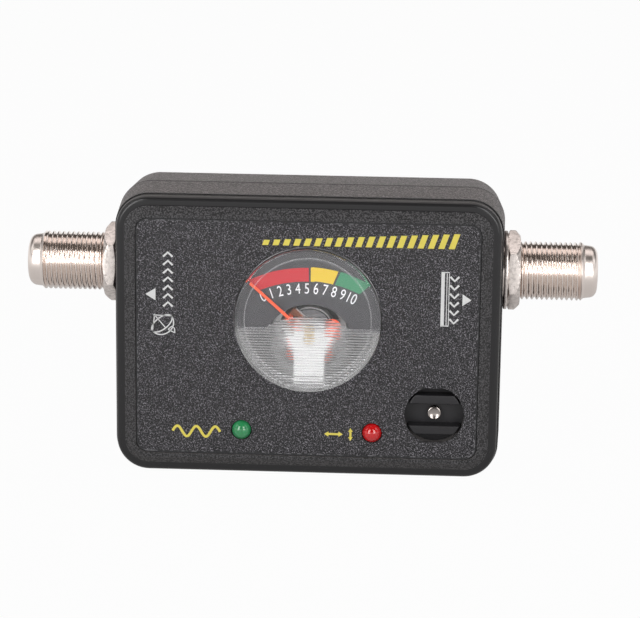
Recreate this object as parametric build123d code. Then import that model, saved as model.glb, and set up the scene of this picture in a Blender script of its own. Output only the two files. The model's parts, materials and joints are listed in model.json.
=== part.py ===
from build123d import *
import math
import os

# Inline satellite signal meter, standing on its bottom wall with the dial facing -Y.
# X runs along the two cable jacks, Y goes into the case and Z is up. Lengths are millimetres.
# A depth is counted from the front lip of the case. Places on the front are counted
# from the middle of the front: across is along X and up is along Z.

# Case
CASE_WIDTH = 61.2
CASE_HEIGHT = 45.2
CASE_DEPTH = 21.2
PARTING_DEPTH = 11.1
RIM_DEPTH = 3.0
LEDGE_DEPTH = 1.0
BEZEL = 3.4
OPENING_RADIUS = 2.0
BEVEL_OUTER = 1.85
BEVEL_INNER = 0.5
CREASE = 0.25
SHOULDER_RADIUS = 0.75
FRONT_LEAN = 0.35
REAR_LEAN = 0.45
WALL = 1.8
PANEL = 2.0
BACK_WALL = 2.0
BACK_EDGE_RADIUS = 1.2
REVEAL = 0.15
TONGUE = 1.0
TONGUE_INSET = 1.0
TONGUE_CLEARANCE = 0.1
OVERRUN = 1.0

# Front label
LABEL_SINK = 0.3
LABEL_THICKNESS = 0.25
LABEL_CLEARANCE = 0.1

# Meter: its lens, dial and can share one axis, and the pointer turns about the pivot
METER_ACROSS = 0.1
METER_UP = 3.25
LENS_RADIUS = 11.55
LENS_PROUD = 0.9
LENS_FRONT = 0.9
LENS_RING = 1.55
LENS_RING_DROP = 0.5
LENS_WALL = 0.4
LENS_EDGE_RADIUS = 0.35
LENS_CLEARANCE = 0.2
LENS_BACK = 1.6
RIB_SPACING = 0.43
GROOVE_DEPTH = 0.11
GROOVE_LAND = 0.08
RIB_FIELD_TOP = 2.05
RIB_ARCH_TOP = 4.1
RIB_ARCH_RADIUS = 12.2
DIAL_THICKNESS = 0.3
DIAL_INSET = 0.3
DIAL_LOW_EDGE = 1.3
DIAL_ARCH_RADIUS = 7.3
DIAL_ARCH_DROP = 2.3
CAN_INSET = 0.05
CAN_WALL = 0.9
CAN_BACK = 10.1
CAN_FLOOR = 0.8
FLANGE_LAP = 1.05
FLANGE = 1.0
SEAT_CLEARANCE = 0.05

# Movement
PIVOT_ACROSS = 0.3
PIVOT_UP = 0.5
REST_ANGLE = 138.0
MAGNET_RADIUS = 3.4
MAGNET_FRONT = 4.7
MAGNET_BACK = 8.0
YOKE_INNER = 5.0
YOKE_OUTER = 5.8
YOKE_FRONT = 4.4
YOKE_BACK = 8.4
HOLDER_SPOKE = 2.4
HOLDER_SLEEVE = 0.25
HOLDER_LENGTH = 2.0
HOLDER_CLEARANCE = 0.02
COIL_REACH = 4.45
COIL_WIRE = 0.4
COIL_FORMER = 0.2
COIL_WIDTH = 2.2
FORMER_WIDTH = 2.6
COIL_FRONT = 3.95
COIL_BACK = 8.75
FRAME_SEAT = 1.2
BRIDGE_FRONT = 1.7
BRIDGE_BACK = 2.6
BRIDGE_WIDTH = 4.8
BRIDGE_TOP = 1.4
BRIDGE_SHOULDER_WIDTH = 8.8
BRIDGE_SHOULDER_TOP = 0.4
BRIDGE_SHOULDER_LOW = -3.0
FOOT_THICKNESS = 1.3
STAFF_RADIUS = 0.3
STAFF_FRONT = 2.15
STAFF_BACK = 9.6
PIVOT_CLEARANCE = 0.06
BEARING_RADIUS = 0.9
BEARING_FRONT = 1.4
BEARING_CLEARANCE = 0.02
JEWEL_DEPTH = 0.65
HUB_FRONT = 2.85
HUB_THICKNESS = 0.3
HUB_RADIUS = 1.2
NEEDLE_REACH = 12.6
NEEDLE_WIDTH = 0.5
NEEDLE_THICKNESS = 0.25
NEEDLE_FRONT = 0.9
NEEDLE_CRANK_REACH = 4.0
NEEDLE_CRANK_LENGTH = 0.4
ARM_REACH = 3.4
ARM_WIDTH = 0.6
WEIGHT_RADIUS = 1.1
WEIGHT_THICKNESS = 0.55
HAIRSPRING_FRONT = 3.35
HAIRSPRING_BACK = 8.95
HAIRSPRING_WIDTH = 0.25
HAIRSPRING_WIRE = 0.1
HAIRSPRING_START = 0.65
HAIRSPRING_SPACING = 0.4
HAIRSPRING_TURNS = 2
TERMINAL_RADIUS = 0.4
TERMINAL_SPACING = 12.0
TERMINAL_UP = 6.0

# Cable jacks, nuts and washer
LEFT_JACK_TIP = 45.3
RIGHT_JACK_TIP = 45.8
JACK_DROP = 12.9
JACK_DEPTH = 10.5
THREAD_RADIUS = 4.675
THREAD_ROOT_RADIUS = 4.5
PILOT_LENGTH = 2.55
PILOT_RADIUS = 4.25
PILOT_TAPER = 0.1
PILOT_EDGE_RADIUS = 1.3
JACK_HOLE_CLEARANCE = 0.12
JACK_BORE_RADIUS = 2.7
JACK_FLANGE_RADIUS = 5.5
JACK_FLANGE = 1.1
JACK_STUB_RADIUS = 3.6
JACK_STUB = 1.5
TAG_WIDTH = 1.4
TAG_THICKNESS = 0.6
TAG_LENGTH = 1.6
TAG_SPACING = 5.2
INSULATOR_SINK = 0.35
INSULATOR_CLEARANCE = 0.03
CONTACT_BORE_RADIUS = 0.6
CONTACT_RADIUS = 0.95
CONTACT_SINK = 2.8
CONTACT_BORE_LENGTH = 9.0
CONTACT_CLEARANCE = 0.03
TAIL_RADIUS = 0.45
TAIL_LENGTH = 2.2
NUT_FLATS = 11.1
NUT_THICKNESS = 2.0
NUT_CHAMFER = 0.8
NUT_SEAT_CHAMFER = 0.3
NUT_TURN = -6.0
NUT_CLEARANCE = 0.02
WASHER_RADIUS = 6.3
WASHER_THICKNESS = 0.55

# Circuit board and what stands on it
BOARD_GAP = 1.0
BOARD_JACK_CLEARANCE = 0.7
BOARD_WALL_CLEARANCE = 1.6
BOARD_POST_CLEARANCE = 0.6
BOARD_THICKNESS = 1.6
HOLE_CLEARANCE = 0.15
LEAD_STICKOUT = 0.6
STANDOFF_RADIUS = 2.0
STANDOFF_INSET = 4.0
STANDOFF_UP = -2.0
BOARD_SCREW_RADIUS = 0.8
BOARD_SCREW_LENGTH = 5.0
BOARD_SCREW_HEAD_RADIUS = 1.5
BOARD_SCREW_HEAD = 1.1
CHIP_LENGTH = 8.6
CHIP_WIDTH = 3.9
CHIP_HEIGHT = 1.5
CHIP_LEG_WIDTH = 0.42
CHIP_LEG_SPACING = 1.27
CHIP_LEG_COUNT = 7
CHIP_LEG_REACH = 1.0
CHIP_LEG_THICKNESS = 0.3
CAN_CAP_RADIUS = 2.5
CAN_CAP_HEIGHT = 5.8
CAN_CAP_BASE = 0.8
CAN_CAP_GROOVE = 0.25
CAN_CAP_UP = 3.0
CHOKE_RADIUS = 2.2
CHOKE_CORE_RADIUS = 1.4
CHOKE_HEIGHT = 4.6
CHOKE_FLANGE = 0.8
CHIP_PART_LENGTH = 2.0
CHIP_PART_WIDTH = 1.25
RESISTOR_HEIGHT = 0.5
CERAMIC_HEIGHT = 0.8
TRANSISTOR_LENGTH = 2.9
TRANSISTOR_WIDTH = 1.3
TRANSISTOR_HEIGHT = 1.0
TRANSISTOR_LEG = 0.45
TRANSISTOR_ACROSS = 13.6
TRANSISTOR_DROP = 4.2
ROW_DROP = 2.0
ROW_ACROSS = 4.6
ROW_COUNT = 4
RIGHT_CERAMIC_UP = 1.8
PART_GAP = 0.6
SMALL_PART_GAP = 1.5

# Signal lamps
LAMP_RADIUS = 1.55
LAMP_PROUD = 0.85
LAMP_LENGTH = 5.3
LAMP_FLANGE_RADIUS = 1.9
LAMP_FLANGE = 1.0
LAMP_HOLE_CLEARANCE = 0.1
LAMP_SPACING_SHARE = 0.3824
LAMP_RISE = 4.1
LEAD_RADIUS = 0.25
LEAD_SPACING = 2.54

# Sensitivity control
KNOB_INSET = 6.85
KNOB_RISE = 7.3
WINDOW_RADIUS = 4.8
WINDOW_LABEL_RADIUS = 4.65
WINDOW_LABEL_HEIGHT = 8.75
KNOB_RADIUS = 4.45
KNOB_FACE = 0.5
KNOB_FLATS = 6.45
CHANNEL_WIDTH = 3.55
CHANNEL_DEPTH = 2.2
KNOB_FLANGE_RADIUS = 5.25
KNOB_FLANGE = 1.0
KNOB_HUB_RADIUS = 2.0
KNOB_HUB = 1.2
KNOB_EDGE_RADIUS = 0.2
SPINDLE_RADIUS = 1.05
SPINDLE_SINK = 1.1
SPINDLE_EDGE_RADIUS = 0.12
DISH_RADIUS = 1.23
DISH_DEPTH = 0.35
SPINDLE_CLEARANCE = 0.02
CONTROL_RADIUS = 4.6
CONTROL_FRONT = 5.55
CONTROL_BORE_CLEARANCE = 0.06
CONTROL_FLOOR = 1.2
CONTROL_PIN_RADIUS = 0.35
CONTROL_PIN_SPACING = 2.5

# Case screws and the posts that hold them
POST_SIDE_INSET = 4.8
POST_END_INSET = 4.6
BOSS_RADIUS = 2.4
POST_RADIUS = 3.3
WEB = 1.0
SCREW_RADIUS = 1.0
SCREW_LENGTH = 9.5
SCREW_HEAD_RADIUS = 2.0
SCREW_HEAD = 1.4
SCREW_SINK = 5.0
SCREW_DRIVE_WIDTH = 0.6
SCREW_DRIVE_LENGTH = 2.4
SCREW_DRIVE_DEPTH = 0.7
SCREW_TIP = 1.0
SCREW_CLEARANCE = 0.25
PILOT_HOLE_CLEARANCE = 0.02
COUNTERBORE_CLEARANCE = 0.35

# Places worked out from the sizes above
OPENING_WIDTH = CASE_WIDTH - 2 * BEZEL
OPENING_HEIGHT = CASE_HEIGHT - 2 * BEZEL
RIM_RADIUS = OPENING_RADIUS + BEZEL
LABEL_BACK = LABEL_SINK + LABEL_THICKNESS
PANEL_BACK = LABEL_BACK + PANEL
BACK_INSIDE = CASE_DEPTH - BACK_WALL
LIP_Y = (LENS_PROUD - CASE_DEPTH) / 2
POST_ACROSS = CASE_WIDTH / 2 - POST_SIDE_INSET
POST_UP = CASE_HEIGHT / 2 - POST_END_INSET
POSTS = [(sx * POST_ACROSS, sz * POST_UP) for sx in (-1, 1) for sz in (-1, 1)]
JACK_UP = CASE_HEIGHT / 2 - JACK_DROP
LEFT_NUT_SEAT = CASE_WIDTH / 2 + FRONT_LEAN
RIGHT_NUT_SEAT = LEFT_NUT_SEAT + WASHER_THICKNESS
FLANGE_OUTER = CASE_WIDTH / 2 - WALL
FLANGE_INNER = FLANGE_OUTER - JACK_FLANGE
STUB_END = FLANGE_INNER - JACK_STUB
DIAL_RADIUS = LENS_RADIUS - DIAL_INSET
DIAL_BACK = LENS_BACK + DIAL_THICKNESS
CAN_RADIUS = LENS_RADIUS - CAN_INSET
FLANGE_RADIUS = LENS_RADIUS + LENS_CLEARANCE + FLANGE_LAP
BOARD_FRONT = CAN_BACK + BOARD_GAP
BOARD_BACK = BOARD_FRONT + BOARD_THICKNESS
BOARD_WIDTH = 2 * (STUB_END - BOARD_JACK_CLEARANCE)
BOARD_HEIGHT = CASE_HEIGHT - 2 * (WALL + BOARD_WALL_CLEARANCE)
LEAD_END = BOARD_BACK + LEAD_STICKOUT
STANDOFFS = [(sx * (BOARD_WIDTH / 2 - STANDOFF_INSET), STANDOFF_UP) for sx in (-1, 1)]
LAMP_SPACING = LAMP_SPACING_SHARE * OPENING_WIDTH
LAMP_ACROSS = (METER_ACROSS - LAMP_SPACING / 2, METER_ACROSS + LAMP_SPACING / 2)
LAMP_UP = LAMP_RISE - OPENING_HEIGHT / 2
KNOB_ACROSS = OPENING_WIDTH / 2 - KNOB_INSET
KNOB_UP = KNOB_RISE - OPENING_HEIGHT / 2
KNOB_FLOOR = KNOB_FACE + CHANNEL_DEPTH
METER_SIDE = FLANGE_RADIUS + PART_GAP


def layer(depth):
    """The plane across the case at a depth, facing the viewer, with its origin mid-front."""
    return Plane(origin=(0, LIP_Y + depth, CASE_HEIGHT / 2), x_dir=(1, 0, 0), z_dir=(0, -1, 0))


def prism(sketch, front, back):
    """A sketch of the front made solid between two depths."""
    return extrude(layer(back) * sketch, amount=back - front)


def rod(across, up, radius, front, back):
    """A round rod along the depth of the case."""
    return prism(Pos(across, up) * Circle(radius), front, back)


def block(across, up, width, height, front, back):
    return prism(Pos(across, up) * Rectangle(width, height), front, back)


def turned(profile, across, up):
    """A profile of (radius, depth) points turned about an axis along the depth."""
    points = [(r, 0, LIP_Y + d) for r, d in profile]
    body = revolve(make_face(Polyline(*points, close=True)), axis=Axis.Z)
    return Plane(origin=(across, 0, CASE_HEIGHT / 2 + up), x_dir=(1, 0, 0), z_dir=(0, 1, 0)) * body


def turned_on_jack(profile, side):
    """A profile of (radius, distance from the middle) points turned about the jack axis."""
    points = [(r, 0, x) for r, x in profile]
    body = revolve(make_face(Polyline(*points, close=True)), axis=Axis.Z)
    place = Plane(
        origin=(0, LIP_Y + JACK_DEPTH, CASE_HEIGHT / 2 + JACK_UP),
        x_dir=(0, 1, 0),
        z_dir=(side, 0, 0),
    )
    return place * body


def on_jack(sketch, side, inner, outer):
    """A sketch square to the jack axis made solid between two distances from the middle."""
    place = Plane(
        origin=(side * inner, LIP_Y + JACK_DEPTH, CASE_HEIGHT / 2 + JACK_UP),
        x_dir=(0, 1, 0),
        z_dir=(side, 0, 0),
    )
    return extrude(place * sketch, amount=outer - inner)


def about_pivot(shape, angle):
    """Turns a shape drawn along +X from the pivot by an angle, seen from the front."""
    axis = Axis((PIVOT_ACROSS, 0, CASE_HEIGHT / 2 + PIVOT_UP), (0, -1, 0))
    return shape.rotate(axis, angle)


def case_outline(lean, inset):
    """The outline of the case: its sides and top lean out, and its bottom stays level."""
    width = CASE_WIDTH + 2 * lean - 2 * inset
    height = CASE_HEIGHT + lean - 2 * inset
    return Pos(0, lean / 2) * RectangleRounded(width, height, RIM_RADIUS - inset)


def case_body(front, front_lean, back, back_lean, inset):
    """The case between two depths, with flat walls and rounded corners. Only the bottom stays level."""
    width = CASE_WIDTH + 2 * back_lean - 2 * inset
    height = CASE_HEIGHT + back_lean - 2 * inset
    body = prism(Pos(0, back_lean / 2) * Rectangle(width, height), front, back)
    sides = body.faces().sort_by(Axis.X)
    leaning = [sides[0], sides[-1], body.faces().sort_by(Axis.Z)[-1]]
    slope = math.degrees(math.atan2(back_lean - front_lean, back - front))
    body = draft(leaning, layer(back), slope)
    return fillet(body.edges().group_by(Axis.Y)[1], RIM_RADIUS - inset)


def opening_outline(grow):
    return RectangleRounded(OPENING_WIDTH + 2 * grow, OPENING_HEIGHT + 2 * grow, OPENING_RADIUS + grow)


def jack_tip(side):
    return LEFT_JACK_TIP if side < 0 else RIGHT_JACK_TIP


def jack_holes():
    radius = THREAD_RADIUS + JACK_HOLE_CLEARANCE
    return [on_jack(Circle(radius), side, FLANGE_INNER, jack_tip(side)) for side in (-1, 1)]


def corner_webs(across, up, front, back):
    """Two webs that tie a screw post to the walls of its corner."""
    reach_x = CASE_WIDTH / 2 - WALL / 2 - abs(across)
    reach_z = CASE_HEIGHT / 2 - WALL / 2 - abs(up)
    side = math.copysign(1, across)
    rise = math.copysign(1, up)
    return [
        block(across + side * reach_x / 2, up, reach_x, WEB, front, back),
        block(across, up + rise * reach_z / 2, WEB, reach_z, front, back),
    ]


def front_shell():
    wall = case_body(RIM_DEPTH, 0, PARTING_DEPTH, FRONT_LEAN, 0)
    shoulder = prism(case_outline(0, CREASE), LEDGE_DEPTH, RIM_DEPTH)
    shoulder = fillet(shoulder.faces().sort_by(Axis.Y)[0].edges(), SHOULDER_RADIUS)
    bevel = loft(
        [layer(LEDGE_DEPTH) * opening_outline(BEVEL_OUTER), layer(0) * opening_outline(BEVEL_INNER)],
        ruled=True,
    )
    shell = wall + shoulder + bevel
    shell -= prism(opening_outline(0), -OVERRUN, LABEL_BACK)
    shell -= case_body(PANEL_BACK, 0, PARTING_DEPTH, FRONT_LEAN, WALL)
    tongue = case_outline(FRONT_LEAN, TONGUE_INSET) - case_outline(FRONT_LEAN, WALL - TONGUE_CLEARANCE)
    shell += prism(tongue, PARTING_DEPTH, PARTING_DEPTH + TONGUE)
    for across, up in POSTS:
        shell += rod(across, up, BOSS_RADIUS, PANEL_BACK, PARTING_DEPTH)
        shell += corner_webs(across, up, PANEL_BACK, PARTING_DEPTH)
    pilot = SCREW_RADIUS + PILOT_HOLE_CLEARANCE
    pilot_end = CASE_DEPTH - SCREW_SINK - SCREW_LENGTH - OVERRUN
    for across, up in POSTS:
        shell -= rod(across, up, pilot, pilot_end, PARTING_DEPTH + OVERRUN)
    shell -= rod(METER_ACROSS, METER_UP, LENS_RADIUS + LENS_CLEARANCE, 0, PANEL_BACK + OVERRUN)
    for across in LAMP_ACROSS:
        shell -= rod(across, LAMP_UP, LAMP_RADIUS + LAMP_HOLE_CLEARANCE, 0, PANEL_BACK + OVERRUN)
    shell -= rod(KNOB_ACROSS, KNOB_UP, WINDOW_RADIUS, 0, PANEL_BACK + OVERRUN)
    shell -= jack_holes()
    return shell


def back_shell():
    front = PARTING_DEPTH + REVEAL
    rear_lean = FRONT_LEAN - REAR_LEAN
    shell = case_body(front, FRONT_LEAN, CASE_DEPTH, rear_lean, 0)
    shell = fillet(shell.faces().sort_by(Axis.Y)[-1].edges(), BACK_EDGE_RADIUS)
    shell -= case_body(front, FRONT_LEAN, BACK_INSIDE, rear_lean, WALL)
    rebate = case_outline(FRONT_LEAN, TONGUE_INSET - TONGUE_CLEARANCE)
    shell -= prism(rebate, front, PARTING_DEPTH + TONGUE + TONGUE_CLEARANCE)
    for across, up in POSTS:
        shell += rod(across, up, POST_RADIUS, PARTING_DEPTH, BACK_INSIDE)
    inside = case_outline(FRONT_LEAN, WALL + TONGUE_CLEARANCE)
    tongue_space = prism(case_outline(FRONT_LEAN, 0) - inside, PARTING_DEPTH, front)
    groove = prism(rebate - inside, PARTING_DEPTH, PARTING_DEPTH + TONGUE + TONGUE_CLEARANCE)
    shell -= tongue_space
    shell -= groove
    for across, up in STANDOFFS:
        shell += rod(across, up, STANDOFF_RADIUS, BOARD_BACK, BACK_INSIDE)
        pilot = BOARD_SCREW_RADIUS + PILOT_HOLE_CLEARANCE
        shell -= rod(across, up, pilot, BOARD_BACK - OVERRUN, BOARD_FRONT + BOARD_SCREW_LENGTH + OVERRUN)
    seat = CASE_DEPTH - SCREW_SINK
    for across, up in POSTS:
        shell -= rod(across, up, SCREW_RADIUS + SCREW_CLEARANCE, PARTING_DEPTH - OVERRUN, seat + OVERRUN)
        bore = SCREW_HEAD_RADIUS + COUNTERBORE_CLEARANCE
        shell -= rod(across, up, bore, seat, CASE_DEPTH + OVERRUN)
    shell -= jack_holes()
    return shell


def case_screws():
    seat = CASE_DEPTH - SCREW_SINK
    tip = seat - SCREW_LENGTH
    drive = block(0, 0, SCREW_DRIVE_LENGTH, SCREW_DRIVE_WIDTH, 0, SCREW_DRIVE_DEPTH)
    drive += block(0, 0, SCREW_DRIVE_WIDTH, SCREW_DRIVE_LENGTH, 0, SCREW_DRIVE_DEPTH)
    screws = []
    for across, up in POSTS:
        profile = [
            (0, tip),
            (SCREW_RADIUS, tip + SCREW_TIP),
            (SCREW_RADIUS, seat),
            (SCREW_HEAD_RADIUS, seat),
            (SCREW_HEAD_RADIUS, seat + SCREW_HEAD / 2),
            (SCREW_HEAD_RADIUS / 2, seat + SCREW_HEAD),
            (0, seat + SCREW_HEAD),
        ]
        screw = turned(profile, across, up)
        screw -= Pos(across, seat + SCREW_HEAD - SCREW_DRIVE_DEPTH, up) * drive
        screws.append(screw)
    return screws


def face_label():
    label = prism(opening_outline(-LABEL_CLEARANCE), LABEL_SINK, LABEL_BACK)
    label -= rod(METER_ACROSS, METER_UP, LENS_RADIUS + LENS_CLEARANCE, 0, PANEL_BACK)
    for across in LAMP_ACROSS:
        label -= rod(across, LAMP_UP, LAMP_RADIUS + LAMP_HOLE_CLEARANCE, 0, PANEL_BACK)
    window = Circle(WINDOW_LABEL_RADIUS) & Rectangle(2 * WINDOW_LABEL_RADIUS, WINDOW_LABEL_HEIGHT)
    return label - prism(Pos(KNOB_ACROSS, KNOB_UP) * window, 0, PANEL_BACK)


def groove_half_width(up):
    """How far a lens groove runs to each side: over the flat of the lens below, under an arch above."""
    flat = LENS_RADIUS - LENS_EDGE_RADIUS - GROOVE_LAND
    reach = abs(up - METER_UP) + RIB_SPACING / 2
    half = math.sqrt(max(flat**2 - reach**2, 0))
    if up > RIB_FIELD_TOP:
        drop = RIB_ARCH_TOP - up
        half = min(half, math.sqrt(max(2 * RIB_ARCH_RADIUS * drop - drop**2, 0)))
    return half


def lens_grooves():
    """V grooves across the lower half of the lens, which leave a field of fine ribs."""
    front = LIP_Y - LENS_PROUD
    count = int((RIB_ARCH_TOP - METER_UP + LENS_RADIUS) / RIB_SPACING) - 2
    grooves = []
    for i in range(count):
        up = RIB_ARCH_TOP - (i + 0.5) * RIB_SPACING
        half = groove_half_width(up)
        z = CASE_HEIGHT / 2 + up
        rise = (RIB_SPACING - GROOVE_LAND) / 2
        mouth = rise * (1 + OVERRUN / GROOVE_DEPTH)
        section = Polyline(
            (METER_ACROSS - half, front + GROOVE_DEPTH, z),
            (METER_ACROSS - half, front - OVERRUN, z - mouth),
            (METER_ACROSS - half, front - OVERRUN, z + mouth),
            close=True,
        )
        grooves.append(extrude(make_face(section), amount=2 * half, dir=(1, 0, 0)))
    return grooves


def meter_lens():
    """A clear cup that stands just off the dial plate, with a thicker ring round its window."""
    plate_back = LENS_FRONT - LENS_PROUD
    lens = rod(METER_ACROSS, METER_UP, LENS_RADIUS, -LENS_PROUD, LENS_BACK - SEAT_CLEARANCE)
    lens = fillet(lens.faces().sort_by(Axis.Y)[0].edges(), LENS_EDGE_RADIUS)
    lens -= rod(METER_ACROSS, METER_UP, LENS_RADIUS - LENS_WALL, plate_back + LENS_RING_DROP, LENS_BACK)
    lens -= rod(METER_ACROSS, METER_UP, LENS_RADIUS - LENS_RING, plate_back, LENS_BACK)
    return lens - lens_grooves()


def dial_plate():
    """The printed plate, arched out over the movement and cut straight below."""
    low = METER_UP - DIAL_RADIUS
    plate = rod(METER_ACROSS, METER_UP, DIAL_RADIUS, LENS_BACK, DIAL_BACK)
    cut_height = DIAL_LOW_EDGE - low + OVERRUN
    cut_up = DIAL_LOW_EDGE - cut_height / 2
    plate -= block(METER_ACROSS, cut_up, 2 * DIAL_RADIUS + OVERRUN, cut_height, 0, PANEL_BACK)
    arch_up = PIVOT_UP - DIAL_ARCH_DROP
    return plate - rod(PIVOT_ACROSS, arch_up, DIAL_ARCH_RADIUS, 0, PANEL_BACK)


def meter_can():
    """The cup that holds the movement, with a flange that seats behind the front panel."""
    can = rod(METER_ACROSS, METER_UP, CAN_RADIUS, LENS_BACK, CAN_BACK)
    can += rod(METER_ACROSS, METER_UP, FLANGE_RADIUS, PANEL_BACK, PANEL_BACK + FLANGE)
    can -= rod(METER_ACROSS, METER_UP, CAN_RADIUS - CAN_WALL, 0, CAN_BACK - CAN_FLOOR)
    recess = Circle(DIAL_RADIUS + SEAT_CLEARANCE)
    recess_cut = Pos(0, DIAL_LOW_EDGE - METER_UP - DIAL_RADIUS - SEAT_CLEARANCE)
    recess -= recess_cut * Rectangle(3 * DIAL_RADIUS, 2 * DIAL_RADIUS)
    can -= prism(Pos(METER_ACROSS, METER_UP) * recess, LENS_BACK, DIAL_BACK)
    bearing = BEARING_RADIUS + BEARING_CLEARANCE
    can -= rod(PIVOT_ACROSS, PIVOT_UP, bearing, CAN_BACK - CAN_FLOOR - OVERRUN, CAN_BACK + OVERRUN)
    for side in (-1, 1):
        across = METER_ACROSS + side * TERMINAL_SPACING / 2
        terminal = TERMINAL_RADIUS + BEARING_CLEARANCE
        can -= rod(across, METER_UP + TERMINAL_UP, terminal, CAN_BACK - CAN_FLOOR - OVERRUN, CAN_BACK + OVERRUN)
    return can


def movement_frame():
    """A white moulding: a ring under the yoke, a foot, and a bridge over the pivot."""
    can_floor = CAN_BACK - CAN_FLOOR
    seat = Circle(YOKE_OUTER + FRAME_SEAT / 2) - Circle(YOKE_INNER)
    frame = prism(Pos(PIVOT_ACROSS, PIVOT_UP) * seat, YOKE_BACK, can_floor)
    corner = BRIDGE_WIDTH / 2 + abs(PIVOT_ACROSS - METER_ACROSS)
    can_inside = CAN_RADIUS - CAN_WALL - SEAT_CLEARANCE
    foot_low = METER_UP - math.sqrt(can_inside**2 - corner**2)
    foot_up = foot_low + FOOT_THICKNESS / 2
    frame += block(PIVOT_ACROSS, foot_up, BRIDGE_WIDTH, FOOT_THICKNESS, BRIDGE_FRONT, can_floor)
    top = PIVOT_UP + BRIDGE_TOP
    column_up = (top + foot_low) / 2
    frame += block(PIVOT_ACROSS, column_up, BRIDGE_WIDTH, top - foot_low, BRIDGE_FRONT, BRIDGE_BACK)
    shoulder = Polyline(
        (-BRIDGE_SHOULDER_WIDTH / 2, BRIDGE_SHOULDER_TOP),
        (BRIDGE_SHOULDER_WIDTH / 2, BRIDGE_SHOULDER_TOP),
        (BRIDGE_WIDTH / 2, BRIDGE_SHOULDER_LOW),
        (-BRIDGE_WIDTH / 2, BRIDGE_SHOULDER_LOW),
        close=True,
    )
    frame += prism(Pos(PIVOT_ACROSS, PIVOT_UP) * make_face(shoulder), BRIDGE_FRONT, BRIDGE_BACK)
    bearing = BEARING_RADIUS + BEARING_CLEARANCE
    return frame - rod(PIVOT_ACROSS, PIVOT_UP, bearing, 0, BRIDGE_BACK + OVERRUN)


def bearing_screws():
    """The two jewel screws that carry the moving coil's pivots."""
    hole = STAFF_RADIUS + PIVOT_CLEARANCE
    front = rod(PIVOT_ACROSS, PIVOT_UP, BEARING_RADIUS, BEARING_FRONT, BRIDGE_BACK)
    front -= rod(PIVOT_ACROSS, PIVOT_UP, hole, BRIDGE_BACK - JEWEL_DEPTH, BRIDGE_BACK + OVERRUN)
    can_floor = CAN_BACK - CAN_FLOOR
    back = rod(PIVOT_ACROSS, PIVOT_UP, BEARING_RADIUS, can_floor, CAN_BACK + BEARING_CLEARANCE)
    back -= rod(PIVOT_ACROSS, PIVOT_UP, hole, can_floor - OVERRUN, can_floor + JEWEL_DEPTH)
    return [front, back]


def yoke_ring():
    ring = Circle(YOKE_OUTER) - Circle(YOKE_INNER)
    return prism(Pos(PIVOT_ACROSS, PIVOT_UP) * ring, YOKE_FRONT, YOKE_BACK)


def core_magnet():
    return rod(PIVOT_ACROSS, PIVOT_UP, MAGNET_RADIUS, MAGNET_FRONT, MAGNET_BACK)


def magnet_holder():
    """A sleeve round the magnet with two spokes, in the two gaps that the coil never sweeps."""
    middle = (MAGNET_FRONT + MAGNET_BACK) / 2
    spokes = Rectangle(2 * YOKE_INNER, HOLDER_SPOKE) & Circle(YOKE_INNER - HOLDER_CLEARANCE)
    sketch = spokes + Circle(MAGNET_RADIUS + HOLDER_SLEEVE)
    sketch -= Circle(MAGNET_RADIUS + HOLDER_CLEARANCE)
    return prism(Pos(PIVOT_ACROSS, PIVOT_UP) * sketch, middle - HOLDER_LENGTH / 2, middle + HOLDER_LENGTH / 2)


def coil_loop(outer, thickness, width):
    """A flat loop round the magnet, in line with the pointer. outer is how far it lies inside the coil's outside."""
    reach = COIL_REACH - outer
    front = COIL_FRONT + outer
    back = COIL_BACK - outer
    loop = block(PIVOT_ACROSS, PIVOT_UP, 2 * reach, width, front, back)
    inner_reach = reach - thickness
    loop -= block(PIVOT_ACROSS, PIVOT_UP, 2 * inner_reach, width + OVERRUN, front + thickness, back - thickness)
    return about_pivot(loop, REST_ANGLE)


def coil_winding():
    return coil_loop(0, COIL_WIRE, COIL_WIDTH)


def coil_former():
    return coil_loop(COIL_WIRE, COIL_FORMER, FORMER_WIDTH)


def coil_staff():
    """The two short pivots, on the front and back of the coil."""
    front = rod(PIVOT_ACROSS, PIVOT_UP, STAFF_RADIUS, STAFF_FRONT, COIL_FRONT)
    back = rod(PIVOT_ACROSS, PIVOT_UP, STAFF_RADIUS, COIL_BACK, STAFF_BACK)
    return [front, back]


def hairspring(front):
    """A spiral of half turns, each one half a pitch larger, wound out from a collet on the staff."""
    back = front + HAIRSPRING_WIDTH
    collet = Circle(HAIRSPRING_START + HAIRSPRING_WIRE) - Circle(STAFF_RADIUS + BEARING_CLEARANCE)
    spring = prism(Pos(PIVOT_ACROSS, PIVOT_UP) * collet, front, back)
    step = HAIRSPRING_SPACING / 2
    for i in range(2 * HAIRSPRING_TURNS):
        side = 1 if i % 2 else -1
        radius = HAIRSPRING_START + (i + 1) * step
        half = Circle(radius + HAIRSPRING_WIRE) - Circle(radius)
        span = 2 * (radius + HAIRSPRING_WIRE)
        half &= Pos(0, side * span / 2) * Rectangle(2 * span, span)
        shift = -side * step / 2
        spring += prism(Pos(PIVOT_ACROSS + shift, PIVOT_UP) * half, front, back)
    return spring


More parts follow.
